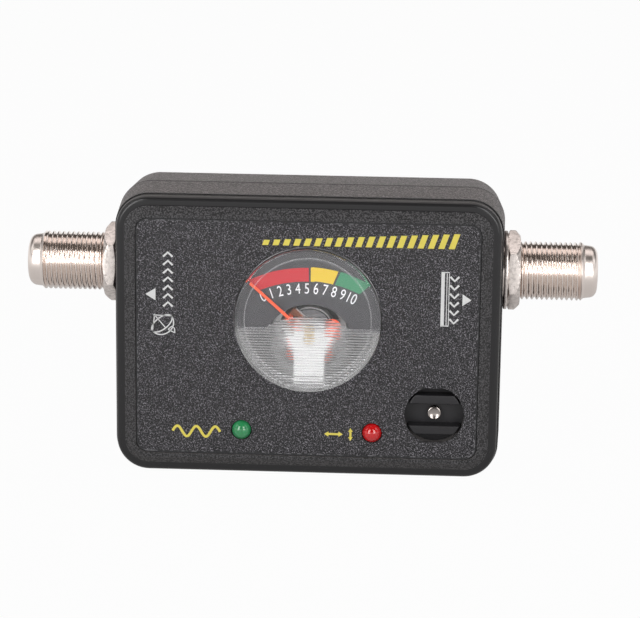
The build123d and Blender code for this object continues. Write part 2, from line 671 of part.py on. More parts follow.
def pointer():
    """A needle that steps forward over the dial, its hub, and three balance arms."""
    hub_back = HUB_FRONT + HUB_THICKNESS
    hub = rod(PIVOT_ACROSS, PIVOT_UP, HUB_RADIUS, HUB_FRONT, hub_back)
    step_outer = NEEDLE_CRANK_REACH + NEEDLE_CRANK_LENGTH
    needle_back = NEEDLE_FRONT + NEEDLE_THICKNESS
    inner_mid = PIVOT_ACROSS + step_outer / 2
    needle = block(inner_mid, PIVOT_UP, step_outer, NEEDLE_WIDTH, HUB_FRONT, hub_back)
    step_mid = PIVOT_ACROSS + NEEDLE_CRANK_REACH + NEEDLE_CRANK_LENGTH / 2
    needle += block(step_mid, PIVOT_UP, NEEDLE_CRANK_LENGTH, NEEDLE_WIDTH, NEEDLE_FRONT, hub_back)
    outer_mid = PIVOT_ACROSS + (NEEDLE_CRANK_REACH + NEEDLE_REACH) / 2
    outer_length = NEEDLE_REACH - NEEDLE_CRANK_REACH
    needle += block(outer_mid, PIVOT_UP, outer_length, NEEDLE_WIDTH, NEEDLE_FRONT, needle_back)
    body = hub + needle
    arm = block(PIVOT_ACROSS + ARM_REACH / 2, PIVOT_UP, ARM_REACH, ARM_WIDTH, HUB_FRONT, hub_back)
    arm += rod(PIVOT_ACROSS + ARM_REACH, PIVOT_UP, WEIGHT_RADIUS, hub_back - WEIGHT_THICKNESS / 2, hub_back)
    arm += rod(PIVOT_ACROSS + ARM_REACH, PIVOT_UP, WEIGHT_RADIUS, HUB_FRONT, hub_back)
    for quarter in (1, 2, 3):
        body += about_pivot(arm, quarter * 90)
    body -= rod(PIVOT_ACROSS, PIVOT_UP, STAFF_RADIUS + BEARING_CLEARANCE, 0, hub_back + OVERRUN)
    return about_pivot(body, REST_ANGLE)


def meter_terminals():
    pins = []
    for side in (-1, 1):
        across = METER_ACROSS + side * TERMINAL_SPACING / 2
        pins.append(rod(across, METER_UP + TERMINAL_UP, TERMINAL_RADIUS, CAN_BACK - CAN_FLOOR, LEAD_END))
    return pins


def jack_barrel(side, nut_end):
    """Threaded barrel with a plain pilot end, an inner flange, a stub and two ground tags.

    The free thread is solid to its crests, and the stretch that the nut grips is a little smaller.
    """
    tip = jack_tip(side)
    thread_end = tip - PILOT_LENGTH
    step = THREAD_RADIUS - PILOT_RADIUS
    profile = [
        (JACK_BORE_RADIUS, STUB_END),
        (JACK_STUB_RADIUS, STUB_END),
        (JACK_STUB_RADIUS, FLANGE_INNER),
        (JACK_FLANGE_RADIUS, FLANGE_INNER),
        (JACK_FLANGE_RADIUS, FLANGE_OUTER),
        (THREAD_ROOT_RADIUS, FLANGE_OUTER),
        (THREAD_ROOT_RADIUS, nut_end),
        (THREAD_RADIUS, nut_end),
        (THREAD_RADIUS, thread_end),
        (PILOT_RADIUS, thread_end + step),
        (PILOT_RADIUS - PILOT_TAPER, tip),
        (JACK_BORE_RADIUS, tip),
    ]
    barrel = turned_on_jack(profile, side)
    end_edges = barrel.faces().sort_by(Axis.X)[0 if side < 0 else -1].edges()
    barrel = fillet(end_edges.sort_by(SortBy.LENGTH)[-1], PILOT_EDGE_RADIUS)
    tag_depth = BOARD_FRONT - TAG_THICKNESS
    for rise in (-1, 1):
        across = side * (STUB_END - TAG_LENGTH / 2 + JACK_STUB / 2)
        length = TAG_LENGTH + JACK_STUB
        tag = block(across, JACK_UP + rise * TAG_SPACING / 2, length, TAG_WIDTH, tag_depth, BOARD_FRONT)
        barrel += tag - on_jack(Circle(JACK_BORE_RADIUS), side, 0, tip)
    return barrel


def jack_insulator(side):
    """The plug inside the barrel, with a small mouth for the cable's centre wire."""
    outer = JACK_BORE_RADIUS - INSULATOR_CLEARANCE
    pocket = CONTACT_RADIUS + CONTACT_CLEARANCE
    mouth = jack_tip(side) - INSULATOR_SINK
    contact_front = jack_tip(side) - CONTACT_SINK
    profile = [
        (pocket, STUB_END),
        (outer, STUB_END),
        (outer, mouth),
        (CONTACT_BORE_RADIUS, mouth),
        (CONTACT_BORE_RADIUS, contact_front),
        (pocket, contact_front),
    ]
    return turned_on_jack(profile, side)


def jack_contact(side):
    """The spring sleeve that grips the centre wire, with a thin tail that reaches the board."""
    contact_front = jack_tip(side) - CONTACT_SINK
    profile = [
        (0, STUB_END - TAIL_LENGTH),
        (TAIL_RADIUS, STUB_END - TAIL_LENGTH),
        (TAIL_RADIUS, STUB_END),
        (CONTACT_RADIUS, STUB_END),
        (CONTACT_RADIUS, contact_front),
        (CONTACT_BORE_RADIUS, contact_front),
        (CONTACT_BORE_RADIUS, contact_front - CONTACT_BORE_LENGTH),
        (0, contact_front - CONTACT_BORE_LENGTH),
    ]
    return turned_on_jack(profile, side)


def jack_nut(side, seat):
    """A thin hexagon nut, chamfered at the corners and less so on the side that seats."""
    flats = NUT_FLATS / 2
    corners = flats / math.cos(math.pi / 6)
    end = seat + NUT_THICKNESS
    profile = [
        (THREAD_ROOT_RADIUS + NUT_CLEARANCE, seat),
        (flats, seat),
        (corners, seat + NUT_SEAT_CHAMFER),
        (corners, end - NUT_CHAMFER),
        (flats, end),
        (THREAD_ROOT_RADIUS + NUT_CLEARANCE, end),
    ]
    hexagon = Rot(0, 0, side * NUT_TURN) * RegularPolygon(flats, 6, major_radius=False, rotation=30)
    return turned_on_jack(profile, side) & on_jack(hexagon, side, seat, end)


def right_washer():
    ring = Circle(WASHER_RADIUS) - Circle(THREAD_RADIUS + JACK_HOLE_CLEARANCE)
    return on_jack(ring, 1, RIGHT_NUT_SEAT - WASHER_THICKNESS, RIGHT_NUT_SEAT)


def circuit_board():
    """The board, notched round the screw posts, with holes for every lead that goes through it."""
    outline = Rectangle(BOARD_WIDTH, BOARD_HEIGHT)
    for across, up in POSTS:
        outline -= Pos(across, up) * Circle(POST_RADIUS + BOARD_POST_CLEARANCE)
    for across, up in STANDOFFS:
        outline -= Pos(across, up) * Circle(BOARD_SCREW_RADIUS + HOLE_CLEARANCE)
    for across, up in lamp_lead_places():
        outline -= Pos(across, up) * Circle(LEAD_RADIUS + HOLE_CLEARANCE)
    for side in (-1, 1):
        across = METER_ACROSS + side * TERMINAL_SPACING / 2
        outline -= Pos(across, METER_UP + TERMINAL_UP) * Circle(TERMINAL_RADIUS + HOLE_CLEARANCE)
    for across, up in control_pin_places():
        outline -= Pos(across, up) * Circle(CONTROL_PIN_RADIUS + HOLE_CLEARANCE)
    return prism(outline, BOARD_FRONT, BOARD_BACK)


def board_screws():
    screws = []
    for across, up in STANDOFFS:
        screw = rod(across, up, BOARD_SCREW_RADIUS, BOARD_FRONT, BOARD_FRONT + BOARD_SCREW_LENGTH)
        screw += rod(across, up, BOARD_SCREW_HEAD_RADIUS, BOARD_FRONT - BOARD_SCREW_HEAD, BOARD_FRONT)
        slot_front = BOARD_FRONT - BOARD_SCREW_HEAD
        length = 2 * BOARD_SCREW_HEAD_RADIUS + OVERRUN
        slot = block(across, up, length, SCREW_DRIVE_WIDTH, slot_front, slot_front + SCREW_DRIVE_DEPTH)
        screws.append(screw - slot)
    return screws


def lamp_lead_places():
    return [(across + side * LEAD_SPACING / 2, LAMP_UP) for across in LAMP_ACROSS for side in (-1, 1)]


def lamp(across):
    """A round lamp with a domed tip and a flange at its base."""
    tip = -LAMP_PROUD
    base = tip + LAMP_LENGTH
    lens = rod(across, LAMP_UP, LAMP_RADIUS, tip + LAMP_RADIUS, base)
    dome = Sphere(LAMP_RADIUS)
    lens += Pos(across, LIP_Y + tip + LAMP_RADIUS, CASE_HEIGHT / 2 + LAMP_UP) * dome
    return lens + rod(across, LAMP_UP, LAMP_FLANGE_RADIUS, base - LAMP_FLANGE, base)


def lamp_leads():
    base = LAMP_LENGTH - LAMP_PROUD
    return [rod(across, up, LEAD_RADIUS, base, LEAD_END) for across, up in lamp_lead_places()]


def control_pin_places():
    return [(KNOB_ACROSS + i * CONTROL_PIN_SPACING, KNOB_UP - CONTROL_PIN_SPACING / 2) for i in (-1, 0, 1)]


def control_body():
    """The fixed half of the sensitivity control, bored for the knob's spindle."""
    body = rod(KNOB_ACROSS, KNOB_UP, CONTROL_RADIUS, CONTROL_FRONT, BOARD_FRONT)
    bore = SPINDLE_RADIUS + CONTROL_BORE_CLEARANCE
    return body - rod(KNOB_ACROSS, KNOB_UP, bore, CONTROL_FRONT - OVERRUN, BOARD_FRONT - CONTROL_FLOOR)


def control_pins():
    return [rod(across, up, CONTROL_PIN_RADIUS, BOARD_FRONT, LEAD_END) for across, up in control_pin_places()]


def sensitivity_knob():
    """Two rails with a wide driver channel between them, on a round flange and hub."""
    rails = Circle(KNOB_RADIUS) & Rectangle(2 * KNOB_RADIUS, KNOB_FLATS)
    knob = prism(Pos(KNOB_ACROSS, KNOB_UP) * rails, KNOB_FACE, KNOB_FLOOR)
    knob -= block(KNOB_ACROSS, KNOB_UP, 2 * KNOB_RADIUS + OVERRUN, CHANNEL_WIDTH, KNOB_FACE, KNOB_FLOOR)
    rail_faces = knob.faces().filter_by(Axis.Y).sort_by(Axis.Y)[:2]
    knob = fillet([edge for face in rail_faces for edge in face.edges()], KNOB_EDGE_RADIUS)
    flange_back = KNOB_FLOOR + KNOB_FLANGE
    knob = Part() + knob
    knob += rod(KNOB_ACROSS, KNOB_UP, KNOB_FLANGE_RADIUS, KNOB_FLOOR, flange_back)
    knob += rod(KNOB_ACROSS, KNOB_UP, KNOB_HUB_RADIUS, flange_back, flange_back + KNOB_HUB)
    hole = SPINDLE_RADIUS + SPINDLE_CLEARANCE
    return knob - rod(KNOB_ACROSS, KNOB_UP, hole, 0, BOARD_FRONT)


def knob_spindle():
    """The metal spindle, whose dished end shows in the middle of the channel."""
    front = KNOB_FACE + SPINDLE_SINK
    back = BOARD_FRONT - CONTROL_FLOOR - CONTROL_BORE_CLEARANCE
    spindle = rod(KNOB_ACROSS, KNOB_UP, SPINDLE_RADIUS, front, back)
    spindle = fillet(spindle.faces().sort_by(Axis.Y)[0].edges(), SPINDLE_EDGE_RADIUS)
    middle = LIP_Y + front + DISH_DEPTH - DISH_RADIUS
    return spindle - Pos(KNOB_ACROSS, middle, CASE_HEIGHT / 2 + KNOB_UP) * Sphere(DISH_RADIUS)


def stand_on_board(across, up, width, height, tall):
    return block(across, up, width, height, BOARD_FRONT - tall, BOARD_FRONT)


def amplifier_chip():
    """A small chip, set upright beside the meter, with a row of legs on each long side."""
    across = METER_ACROSS - METER_SIDE - CHIP_LEG_REACH - CHIP_WIDTH / 2
    middle = LAMP_UP + CAN_CAP_RADIUS + PART_GAP + CHIP_LENGTH / 2
    chip = stand_on_board(across, middle, CHIP_WIDTH, CHIP_LENGTH, CHIP_HEIGHT)
    first = middle - (CHIP_LEG_COUNT - 1) * CHIP_LEG_SPACING / 2
    leg_span = CHIP_WIDTH + 2 * CHIP_LEG_REACH
    for i in range(CHIP_LEG_COUNT):
        up = first + i * CHIP_LEG_SPACING
        chip += stand_on_board(across, up, leg_span, CHIP_LEG_WIDTH, CHIP_LEG_THICKNESS)
    return chip


def electrolytic_capacitors():
    top = BOARD_FRONT - CAN_CAP_HEIGHT
    groove = BOARD_FRONT - CAN_CAP_BASE
    caps = []
    beside_lamp = LAMP_ACROSS[0] - LAMP_FLANGE_RADIUS - PART_GAP - CAN_CAP_RADIUS
    beside_meter = METER_ACROSS - METER_SIDE - CAN_CAP_RADIUS
    for across, up in ((beside_lamp, LAMP_UP), (beside_meter, CAN_CAP_UP)):
        profile = [
            (0, top),
            (CAN_CAP_RADIUS - CAN_CAP_GROOVE, top),
            (CAN_CAP_RADIUS, top + CAN_CAP_GROOVE),
            (CAN_CAP_RADIUS, groove - 2 * CAN_CAP_GROOVE),
            (CAN_CAP_RADIUS - CAN_CAP_GROOVE, groove - CAN_CAP_GROOVE),
            (CAN_CAP_RADIUS, groove),
            (CAN_CAP_RADIUS, BOARD_FRONT),
            (0, BOARD_FRONT),
        ]
        caps.append(turned(profile, across, up))
    return caps


def chokes():
    """Two wound drums, one beside each jack."""
    top = BOARD_FRONT - CHOKE_HEIGHT
    profile = [
        (0, top),
        (CHOKE_RADIUS, top),
        (CHOKE_RADIUS, top + CHOKE_FLANGE),
        (CHOKE_CORE_RADIUS, top + CHOKE_FLANGE),
        (CHOKE_CORE_RADIUS, BOARD_FRONT - CHOKE_FLANGE),
        (CHOKE_RADIUS, BOARD_FRONT - CHOKE_FLANGE),
        (CHOKE_RADIUS, BOARD_FRONT),
        (0, BOARD_FRONT),
    ]
    across = STUB_END - TAIL_LENGTH - PART_GAP - CHOKE_RADIUS
    return [turned(profile, side * across, JACK_UP) for side in (-1, 1)]


def chip_part_grid(columns, rows, across, up, tall):
    """A grid of small chip parts on the board, from its lower left part."""
    parts = []
    for i in range(columns):
        for j in range(rows):
            x = across + i * (CHIP_PART_LENGTH + SMALL_PART_GAP)
            z = up + j * (CHIP_PART_WIDTH + SMALL_PART_GAP)
            parts.append(stand_on_board(x, z, CHIP_PART_LENGTH, CHIP_PART_WIDTH, tall))
    return parts


def chip_resistors():
    """A row along the top edge of the board, on the left."""
    row = (ROW_COUNT - 1) * (CHIP_PART_LENGTH + SMALL_PART_GAP)
    up = BOARD_HEIGHT / 2 - ROW_DROP
    return chip_part_grid(ROW_COUNT, 1, -ROW_ACROSS - row, up, RESISTOR_HEIGHT)


def ceramic_capacitors():
    """A row along the top edge on the right, and a block beside the meter."""
    up = BOARD_HEIGHT / 2 - ROW_DROP
    beside_meter = METER_ACROSS + METER_SIDE + CHIP_PART_LENGTH / 2
    block_of_four = chip_part_grid(2, 2, beside_meter, RIGHT_CERAMIC_UP, CERAMIC_HEIGHT)
    return chip_part_grid(ROW_COUNT, 1, ROW_ACROSS, up, CERAMIC_HEIGHT) + block_of_four


def transistors():
    """Two small transistors with three legs each, beside the top of the meter."""
    reach = TRANSISTOR_WIDTH + 2 * TRANSISTOR_LEG
    leg_gap = TRANSISTOR_LENGTH / 3
    up = BOARD_HEIGHT / 2 - TRANSISTOR_DROP
    bodies = []
    for side in (-1, 1):
        across = side * TRANSISTOR_ACROSS
        body = stand_on_board(across, up, TRANSISTOR_LENGTH, TRANSISTOR_WIDTH, TRANSISTOR_HEIGHT)
        for i, rise in ((-1, -1), (1, -1), (0, 1)):
            leg_up = up + rise * reach / 4
            body += stand_on_board(across + i * leg_gap, leg_up, TRANSISTOR_LEG, reach / 2, CHIP_LEG_THICKNESS)
        bodies.append(body)
    return bodies


def as_solids(shape):
    """Every solid of a shape or a list of shapes."""
    shapes = shape if isinstance(shape, list) else [shape]
    return [solid for item in shapes for solid in item.solids()]


def nodes():
    return {
        "front_shell": front_shell(),
        "back_shell": back_shell(),
        "case_screws": case_screws(),
        "face_label": face_label(),
        "meter_lens": meter_lens(),
        "dial_plate": dial_plate(),
        "meter_can": meter_can(),
        "movement_frame": movement_frame(),
        "bearing_screws": bearing_screws(),
        "yoke_ring": yoke_ring(),
        "core_magnet": core_magnet(),
        "magnet_holder": magnet_holder(),
        "coil_former": coil_former(),
        "coil_winding": coil_winding(),
        "coil_staff": coil_staff(),
        "front_hairspring": hairspring(HAIRSPRING_FRONT),
        "back_hairspring": hairspring(HAIRSPRING_BACK),
        "pointer": pointer(),
        "meter_terminals": meter_terminals(),
        "left_jack": jack_barrel(-1, LEFT_NUT_SEAT + NUT_THICKNESS),
        "right_jack": jack_barrel(1, RIGHT_NUT_SEAT + NUT_THICKNESS),
        "left_insulator": jack_insulator(-1),
        "right_insulator": jack_insulator(1),
        "left_contact": jack_contact(-1),
        "right_contact": jack_contact(1),
        "left_nut": jack_nut(-1, LEFT_NUT_SEAT),
        "right_nut": jack_nut(1, RIGHT_NUT_SEAT),
        "right_washer": right_washer(),
        "circuit_board": circuit_board(),
        "board_screws": board_screws(),
        "green_lamp": lamp(LAMP_ACROSS[0]),
        "red_lamp": lamp(LAMP_ACROSS[1]),
        "lamp_leads": lamp_leads(),
        "control_body": control_body(),
        "control_pins": control_pins(),
        "sensitivity_knob": sensitivity_knob(),
        "knob_spindle": knob_spindle(),
        "amplifier_chip": amplifier_chip(),
        "electrolytic_capacitors": electrolytic_capacitors(),
        "chokes": chokes(),
        "chip_resistors": chip_resistors(),
        "ceramic_capacitors": ceramic_capacitors(),
        "transistors": transistors(),
    }


os.makedirs("parts", exist_ok=True)
for name, shape in nodes().items():
    solids = as_solids(shape)
    print(name, len(solids))
    export_step(Compound(children=solids) if len(solids) > 1 else solids[0], f"parts/{name}.step")
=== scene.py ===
import json
import math

import bpy
from mathutils import Matrix, Vector

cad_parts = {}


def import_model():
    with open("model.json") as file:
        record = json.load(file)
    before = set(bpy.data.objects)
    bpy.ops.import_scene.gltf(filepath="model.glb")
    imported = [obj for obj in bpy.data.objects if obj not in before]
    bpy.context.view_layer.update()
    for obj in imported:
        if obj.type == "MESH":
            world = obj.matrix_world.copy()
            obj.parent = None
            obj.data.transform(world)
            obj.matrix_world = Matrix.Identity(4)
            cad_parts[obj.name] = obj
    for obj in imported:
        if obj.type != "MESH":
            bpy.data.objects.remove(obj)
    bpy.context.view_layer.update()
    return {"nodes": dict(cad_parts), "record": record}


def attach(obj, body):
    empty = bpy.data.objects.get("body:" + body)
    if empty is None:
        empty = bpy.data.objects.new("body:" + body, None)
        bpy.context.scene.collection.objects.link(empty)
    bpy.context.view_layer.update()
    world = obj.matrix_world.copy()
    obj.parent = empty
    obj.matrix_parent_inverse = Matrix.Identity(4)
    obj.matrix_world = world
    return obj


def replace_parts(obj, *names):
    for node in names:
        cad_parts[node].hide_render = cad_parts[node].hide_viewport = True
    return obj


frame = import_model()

MM = 0.001
nodes = frame["nodes"]

# Places are counted from the middle of the front, as in the model: across, depth and up, in mm.
CASE_HEIGHT = 45.2
LIP_Y = -10.15
BEVEL_DEPTH = 0.93
RIM_DEPTH = 3.0
PARTING_DEPTH = 11.1
LABEL_FACE = 0.3
LABEL_HALF = (27.1, 19.1)
LABEL_CORNER = 1.9
DIAL_FACE = 1.6
DIAL_CENTRE = (0.1, 3.25)
DIAL_RADIUS = 11.2
RING_INNER = 10.0
RIB_FIELD_TOP = 2.05
RIB_ARCH_TOP = 4.1
RIB_ARCH_RADIUS = 12.2
RIB_SPACING = 0.43
JACK_UP = 9.7
JACK_DEPTH = 10.5
PLAIN_END_START = 42.8
KNOB_CENTRE = (20.35, -11.9)
WINDOW_REACH = 5.0
WINDOW_ROOM = 0.1


def at(across, depth, up):
    """A place of the model in the frame's own metres."""
    return Vector((across, depth + LIP_Y, up + CASE_HEIGHT / 2)) * MM


# Ways to build node trees


class Nodes:
    """Short ways to add nodes to a tree."""

    def __init__(self, tree):
        self.tree = tree

    def node(self, kind, **props):
        made = self.tree.nodes.new(kind)
        for key, value in props.items():
            setattr(made, key, value)
        return made

    def link(self, start, end):
        self.tree.links.new(start, end)

    def put(self, value, end):
        """Joins a socket to the end, or sets the end to a plain value."""
        if isinstance(value, bpy.types.NodeSocket):
            self.link(value, end)
        else:
            end.default_value = value

    def math(self, operation, a, b=None):
        made = self.node("ShaderNodeMath", operation=operation)
        self.put(a, made.inputs[0])
        if b is not None:
            self.put(b, made.inputs[1])
        return made.outputs[0]

    def length(self, a, b):
        """How far a place is from an origin that is a and b away from it."""
        return self.math("SQRT", self.math("ADD", self.math("POWER", a, 2.0), self.math("POWER", b, 2.0)))

    def spread(self, value, low, high, to_low, to_high):
        made = self.node("ShaderNodeMapRange")
        made.inputs["From Min"].default_value = low
        made.inputs["From Max"].default_value = high
        made.inputs["To Min"].default_value = to_low
        made.inputs["To Max"].default_value = to_high
        self.link(value, made.inputs["Value"])
        return made.outputs["Result"]

    def ramp(self, value, stops):
        made = self.node("ShaderNodeValToRGB")
        bar = made.color_ramp
        while len(bar.elements) < len(stops):
            bar.elements.new(0.5)
        for element, (place, color) in zip(bar.elements, stops):
            element.position = place
            element.color = (*color, 1.0)
        self.link(value, made.inputs["Fac"])
        return made.outputs["Color"]

    def mix(self, share, first, second, blend="MIX"):
        """Mixes two colours. The node's colour sockets share their names, so they are found by number."""
        made = self.node("ShaderNodeMix", data_type="RGBA", blend_type=blend)
        for value, number in ((share, 0), (first, 6), (second, 7)):
            self.put(value, made.inputs[number])
        return made.outputs[2]

    def mix_shaders(self, share, first, second):
        made = self.node("ShaderNodeMixShader")
        for value, end in zip((share, first, second), made.inputs):
            self.link(value, end)
        return made.outputs[0]


class Shader(Nodes):
    """A node-based material with a Principled shader and short ways to add textures to it."""

    def __init__(self, name, color, rough, metallic=0.0, **inputs):
        self.mat = bpy.data.materials.new(name)
        self.mat.use_nodes = True
        super().__init__(self.mat.node_tree)
        self.main = self.tree.nodes["Principled BSDF"]
        self.out = self.tree.nodes["Material Output"]
        self.main.inputs["Base Color"].default_value = (*color, 1.0)
        self.main.inputs["Roughness"].default_value = rough
        self.main.inputs["Metallic"].default_value = metallic
        for key, value in inputs.items():
            self.main.inputs[key.replace("_", " ")].default_value = value
        self.coords = self.node("ShaderNodeTexCoord")

    def axis(self, name):
        split = self.node("ShaderNodeSeparateXYZ")
        self.link(self.coords.outputs["Object"], split.inputs["Vector"])
        return split.outputs[name]

    def noise(self, size_mm, detail=2.0):
        made = self.node("ShaderNodeTexNoise")
        made.inputs["Scale"].default_value = 1.0 / (size_mm * MM)
        made.inputs["Detail"].default_value = detail
        self.link(self.coords.outputs["Object"], made.inputs["Vector"])
        return made.outputs["Fac"]

    def bump(self, height, distance_mm, strength=1.0):
        made = self.node("ShaderNodeBump")
        made.inputs["Distance"].default_value = distance_mm * MM
        self.put(strength, made.inputs["Strength"])
        self.link(height, made.inputs["Height"])
        self.link(made.outputs["Normal"], self.main.inputs["Normal"])

    def color(self, value):
        self.link(value, self.main.inputs["Base Color"])

    def rough(self, value):
        self.link(value, self.main.inputs["Roughness"])


# Materials, with the ranges in which nearly all values of a noise lie
NOISE_RANGE = (0.3, 0.7)
GRAIN_RANGE = (0.36, 0.64)


def case_material():
    """Black moulded plastic with a sparked texture, which is deeper on the walls.

    The ledge and the shoulder round the front are smooth. Painted shade darkens the parting line and the
    rim at which the shoulder meets the walls, and a painted sheen lightens the walls.
    """
    s = Shader(
        "case_plastic", (0.017, 0.017, 0.018), 0.5, Specular_IOR_Level=0.45,
        Sheen_Weight=0.22, Sheen_Roughness=0.45, Sheen_Tint=(1.0, 0.93, 0.9, 1.0),
    )
    fine_mm, coarse_mm, grain_depth_mm = 0.23, 0.42, 0.06
    rough_grain, rough_smooth = 0.52, 0.25
    y = s.axis("Y")
    wall_start = (LIP_Y + RIM_DEPTH - 0.02) * MM
    past_bevel = s.math("GREATER_THAN", y, (LIP_Y + BEVEL_DEPTH) * MM)
    before_wall = s.math("LESS_THAN", y, wall_start)
    on_wall = s.math("GREATER_THAN", y, wall_start)
    smooth = s.math("MULTIPLY", past_bevel, before_wall)
    grain = s.math("SUBTRACT", 1.0, smooth)

    fine = s.spread(s.noise(fine_mm, detail=1.0), *GRAIN_RANGE, 0.0, 1.0)
    coarse = s.spread(s.noise(coarse_mm, detail=1.0), *GRAIN_RANGE, 0.0, 1.0)
    coarse_share = s.math("MULTIPLY", on_wall, 0.45)
    fine_share = s.math("SUBTRACT", 1.0, coarse_share)
    height = s.math("ADD", s.math("MULTIPLY", fine, fine_share), s.math("MULTIPLY", coarse, coarse_share))
    strength = s.math("ADD", 0.6, s.math("MULTIPLY", on_wall, 0.9))
    s.bump(height, grain_depth_mm, s.math("MULTIPLY", grain, strength))

    def dark_line(depth, core_mm, reach_mm, darkest):
        away = s.math("ABSOLUTE", s.math("SUBTRACT", y, (LIP_Y + depth) * MM))
        return s.spread(away, core_mm * MM, reach_mm * MM, darkest, 1.0)

    # Painted shade: the colour is darkened along the parting line and along the rim where the shoulder meets
    # the walls, standing in for the shade in their creases.
    seam_shade = dark_line(PARTING_DEPTH, 0.15, 0.6, 0.35)
    rim = dark_line(RIM_DEPTH, 0.12, 0.4, 0.1)
    fleck_with_shade = s.ramp(
        s.math("MULTIPLY", height, s.math("MULTIPLY", seam_shade, rim)),
        [(0.2, (0.003, 0.003, 0.0035)), (0.5, (0.02, 0.019, 0.021)), (0.8, (0.08, 0.077, 0.081))],
    )
    # Painted sheen: the walls' flecks are lightened and warmed, standing in for the light that the top walls
    # catch at a grazing angle; the same lightening falls on every wall.
    painted_wall_sheen = s.mix(on_wall, fleck_with_shade, (2.4, 2.2, 2.1, 1.0), "MULTIPLY")
    s.color(s.mix(smooth, painted_wall_sheen, (0.013, 0.0125, 0.0135, 1.0)))
    s.rough(s.spread(smooth, 0.0, 1.0, rough_grain, rough_smooth))
    return s.mat


def label_grain(s):
    """The leather-like grain of the front label, which the print on it shares: short winding ridges."""
    winding_mm, speck_mm, depth_mm = 0.36, 0.19, 0.05
    winding = s.noise(winding_mm, detail=1.0)
    ridge = s.spread(s.math("ABSOLUTE", s.math("SUBTRACT", winding, 0.5)), 0.0, 0.07, 1.0, 0.0)
    speck = s.spread(s.noise(speck_mm, detail=0.0), 0.41, 0.6, 0.0, 1.0)
    height = s.math("ADD", s.math("MULTIPLY", ridge, 0.4), s.math("MULTIPLY", speck, 0.6))
    s.bump(height, depth_mm)
    return height


def label_material():
    s = Shader("label_film", (0.03, 0.028, 0.032), 0.36)
    stops = [(0.15, (0.001, 0.001, 0.002)), (0.55, (0.02, 0.018, 0.022)), (0.95, (0.27, 0.255, 0.28))]
    s.color(s.ramp(label_grain(s), stops))
    return s.mat


def label_rim_material():
    """The label's cut edge: a painted highlight, bright flecks that stand in for the light its edge catches.
    """
    s = Shader("label_rim", (0.05, 0.05, 0.05), 0.4)
    speck = s.spread(s.noise(0.5), 0.45, 0.62, 0.0, 1.0)
    s.bump(speck, 0.03, 0.8)
    s.color(s.ramp(speck, [(0.3, (0.012, 0.012, 0.013)), (1.0, (0.16, 0.155, 0.165))]))
    return s.mat


def print_material(name, color):
    s = Shader(name, color, 0.45)
    label_grain(s)
    return s.mat


def plain_material(name, color, rough, metallic):
    """A plain moulded or machined surface with a faint unevenness."""
    grain_mm, depth_mm, rough_change = 0.5, 0.004, 0.15
    s = Shader(name, color, rough, metallic)
    uneven = s.noise(grain_mm, detail=3.0)
    s.bump(uneven, depth_mm, 0.5)
    s.rough(s.spread(uneven, *NOISE_RANGE, rough * (1 - rough_change), rough * (1 + rough_change)))
    return s.mat


def nickel_material():
    """The bright plating of the jacks, which is duller on their plain ends."""
    s = Shader("nickel", (0.84, 0.755, 0.705), 0.16, 1.0)
    blotch = s.noise(1.6, detail=3.0)
    plain_end = s.math("GREATER_THAN", s.math("ABSOLUTE", s.axis("X")), PLAIN_END_START * MM)
    s.rough(s.math("ADD", s.spread(blotch, *NOISE_RANGE, 0.14, 0.22), s.math("MULTIPLY", plain_end, 0.14)))
    s.bump(s.noise(0.25), 0.004, 0.5)
    return s.mat


def stamped_nickel_material():
    """The nuts and washer: plating that is duller, pitted and rubbed."""
    s = Shader("stamped_nickel", (0.7, 0.62, 0.58), 0.3, 1.0)
    dents = s.spread(s.noise(1.5), *NOISE_RANGE, 0.0, 1.0)
    pits = s.spread(s.noise(0.5, detail=3.0), 0.34, 0.6, 0.0, 1.0)
    s.bump(s.math("ADD", dents, s.math("MULTIPLY", pits, 0.2)), 0.05, 0.7)
    s.color(s.ramp(pits, [(0.0, (0.56, 0.51, 0.48)), (0.7, (0.78, 0.71, 0.67))]))
    s.rough(s.spread(dents, 0.0, 1.0, 0.24, 0.38))
    return s.mat


def let_light_through(s, surface):
    """Joins a surface to the output so that the lamps light what lies behind it."""
    path = s.node("ShaderNodeLightPath")
    clear = s.node("ShaderNodeBsdfTransparent")
    clear.inputs["Color"].default_value = (0.93, 0.94, 0.94, 1.0)
    mixed = s.mix_shaders(path.outputs["Is Shadow Ray"], surface, clear.outputs[0])
    s.link(mixed, s.out.inputs["Surface"])


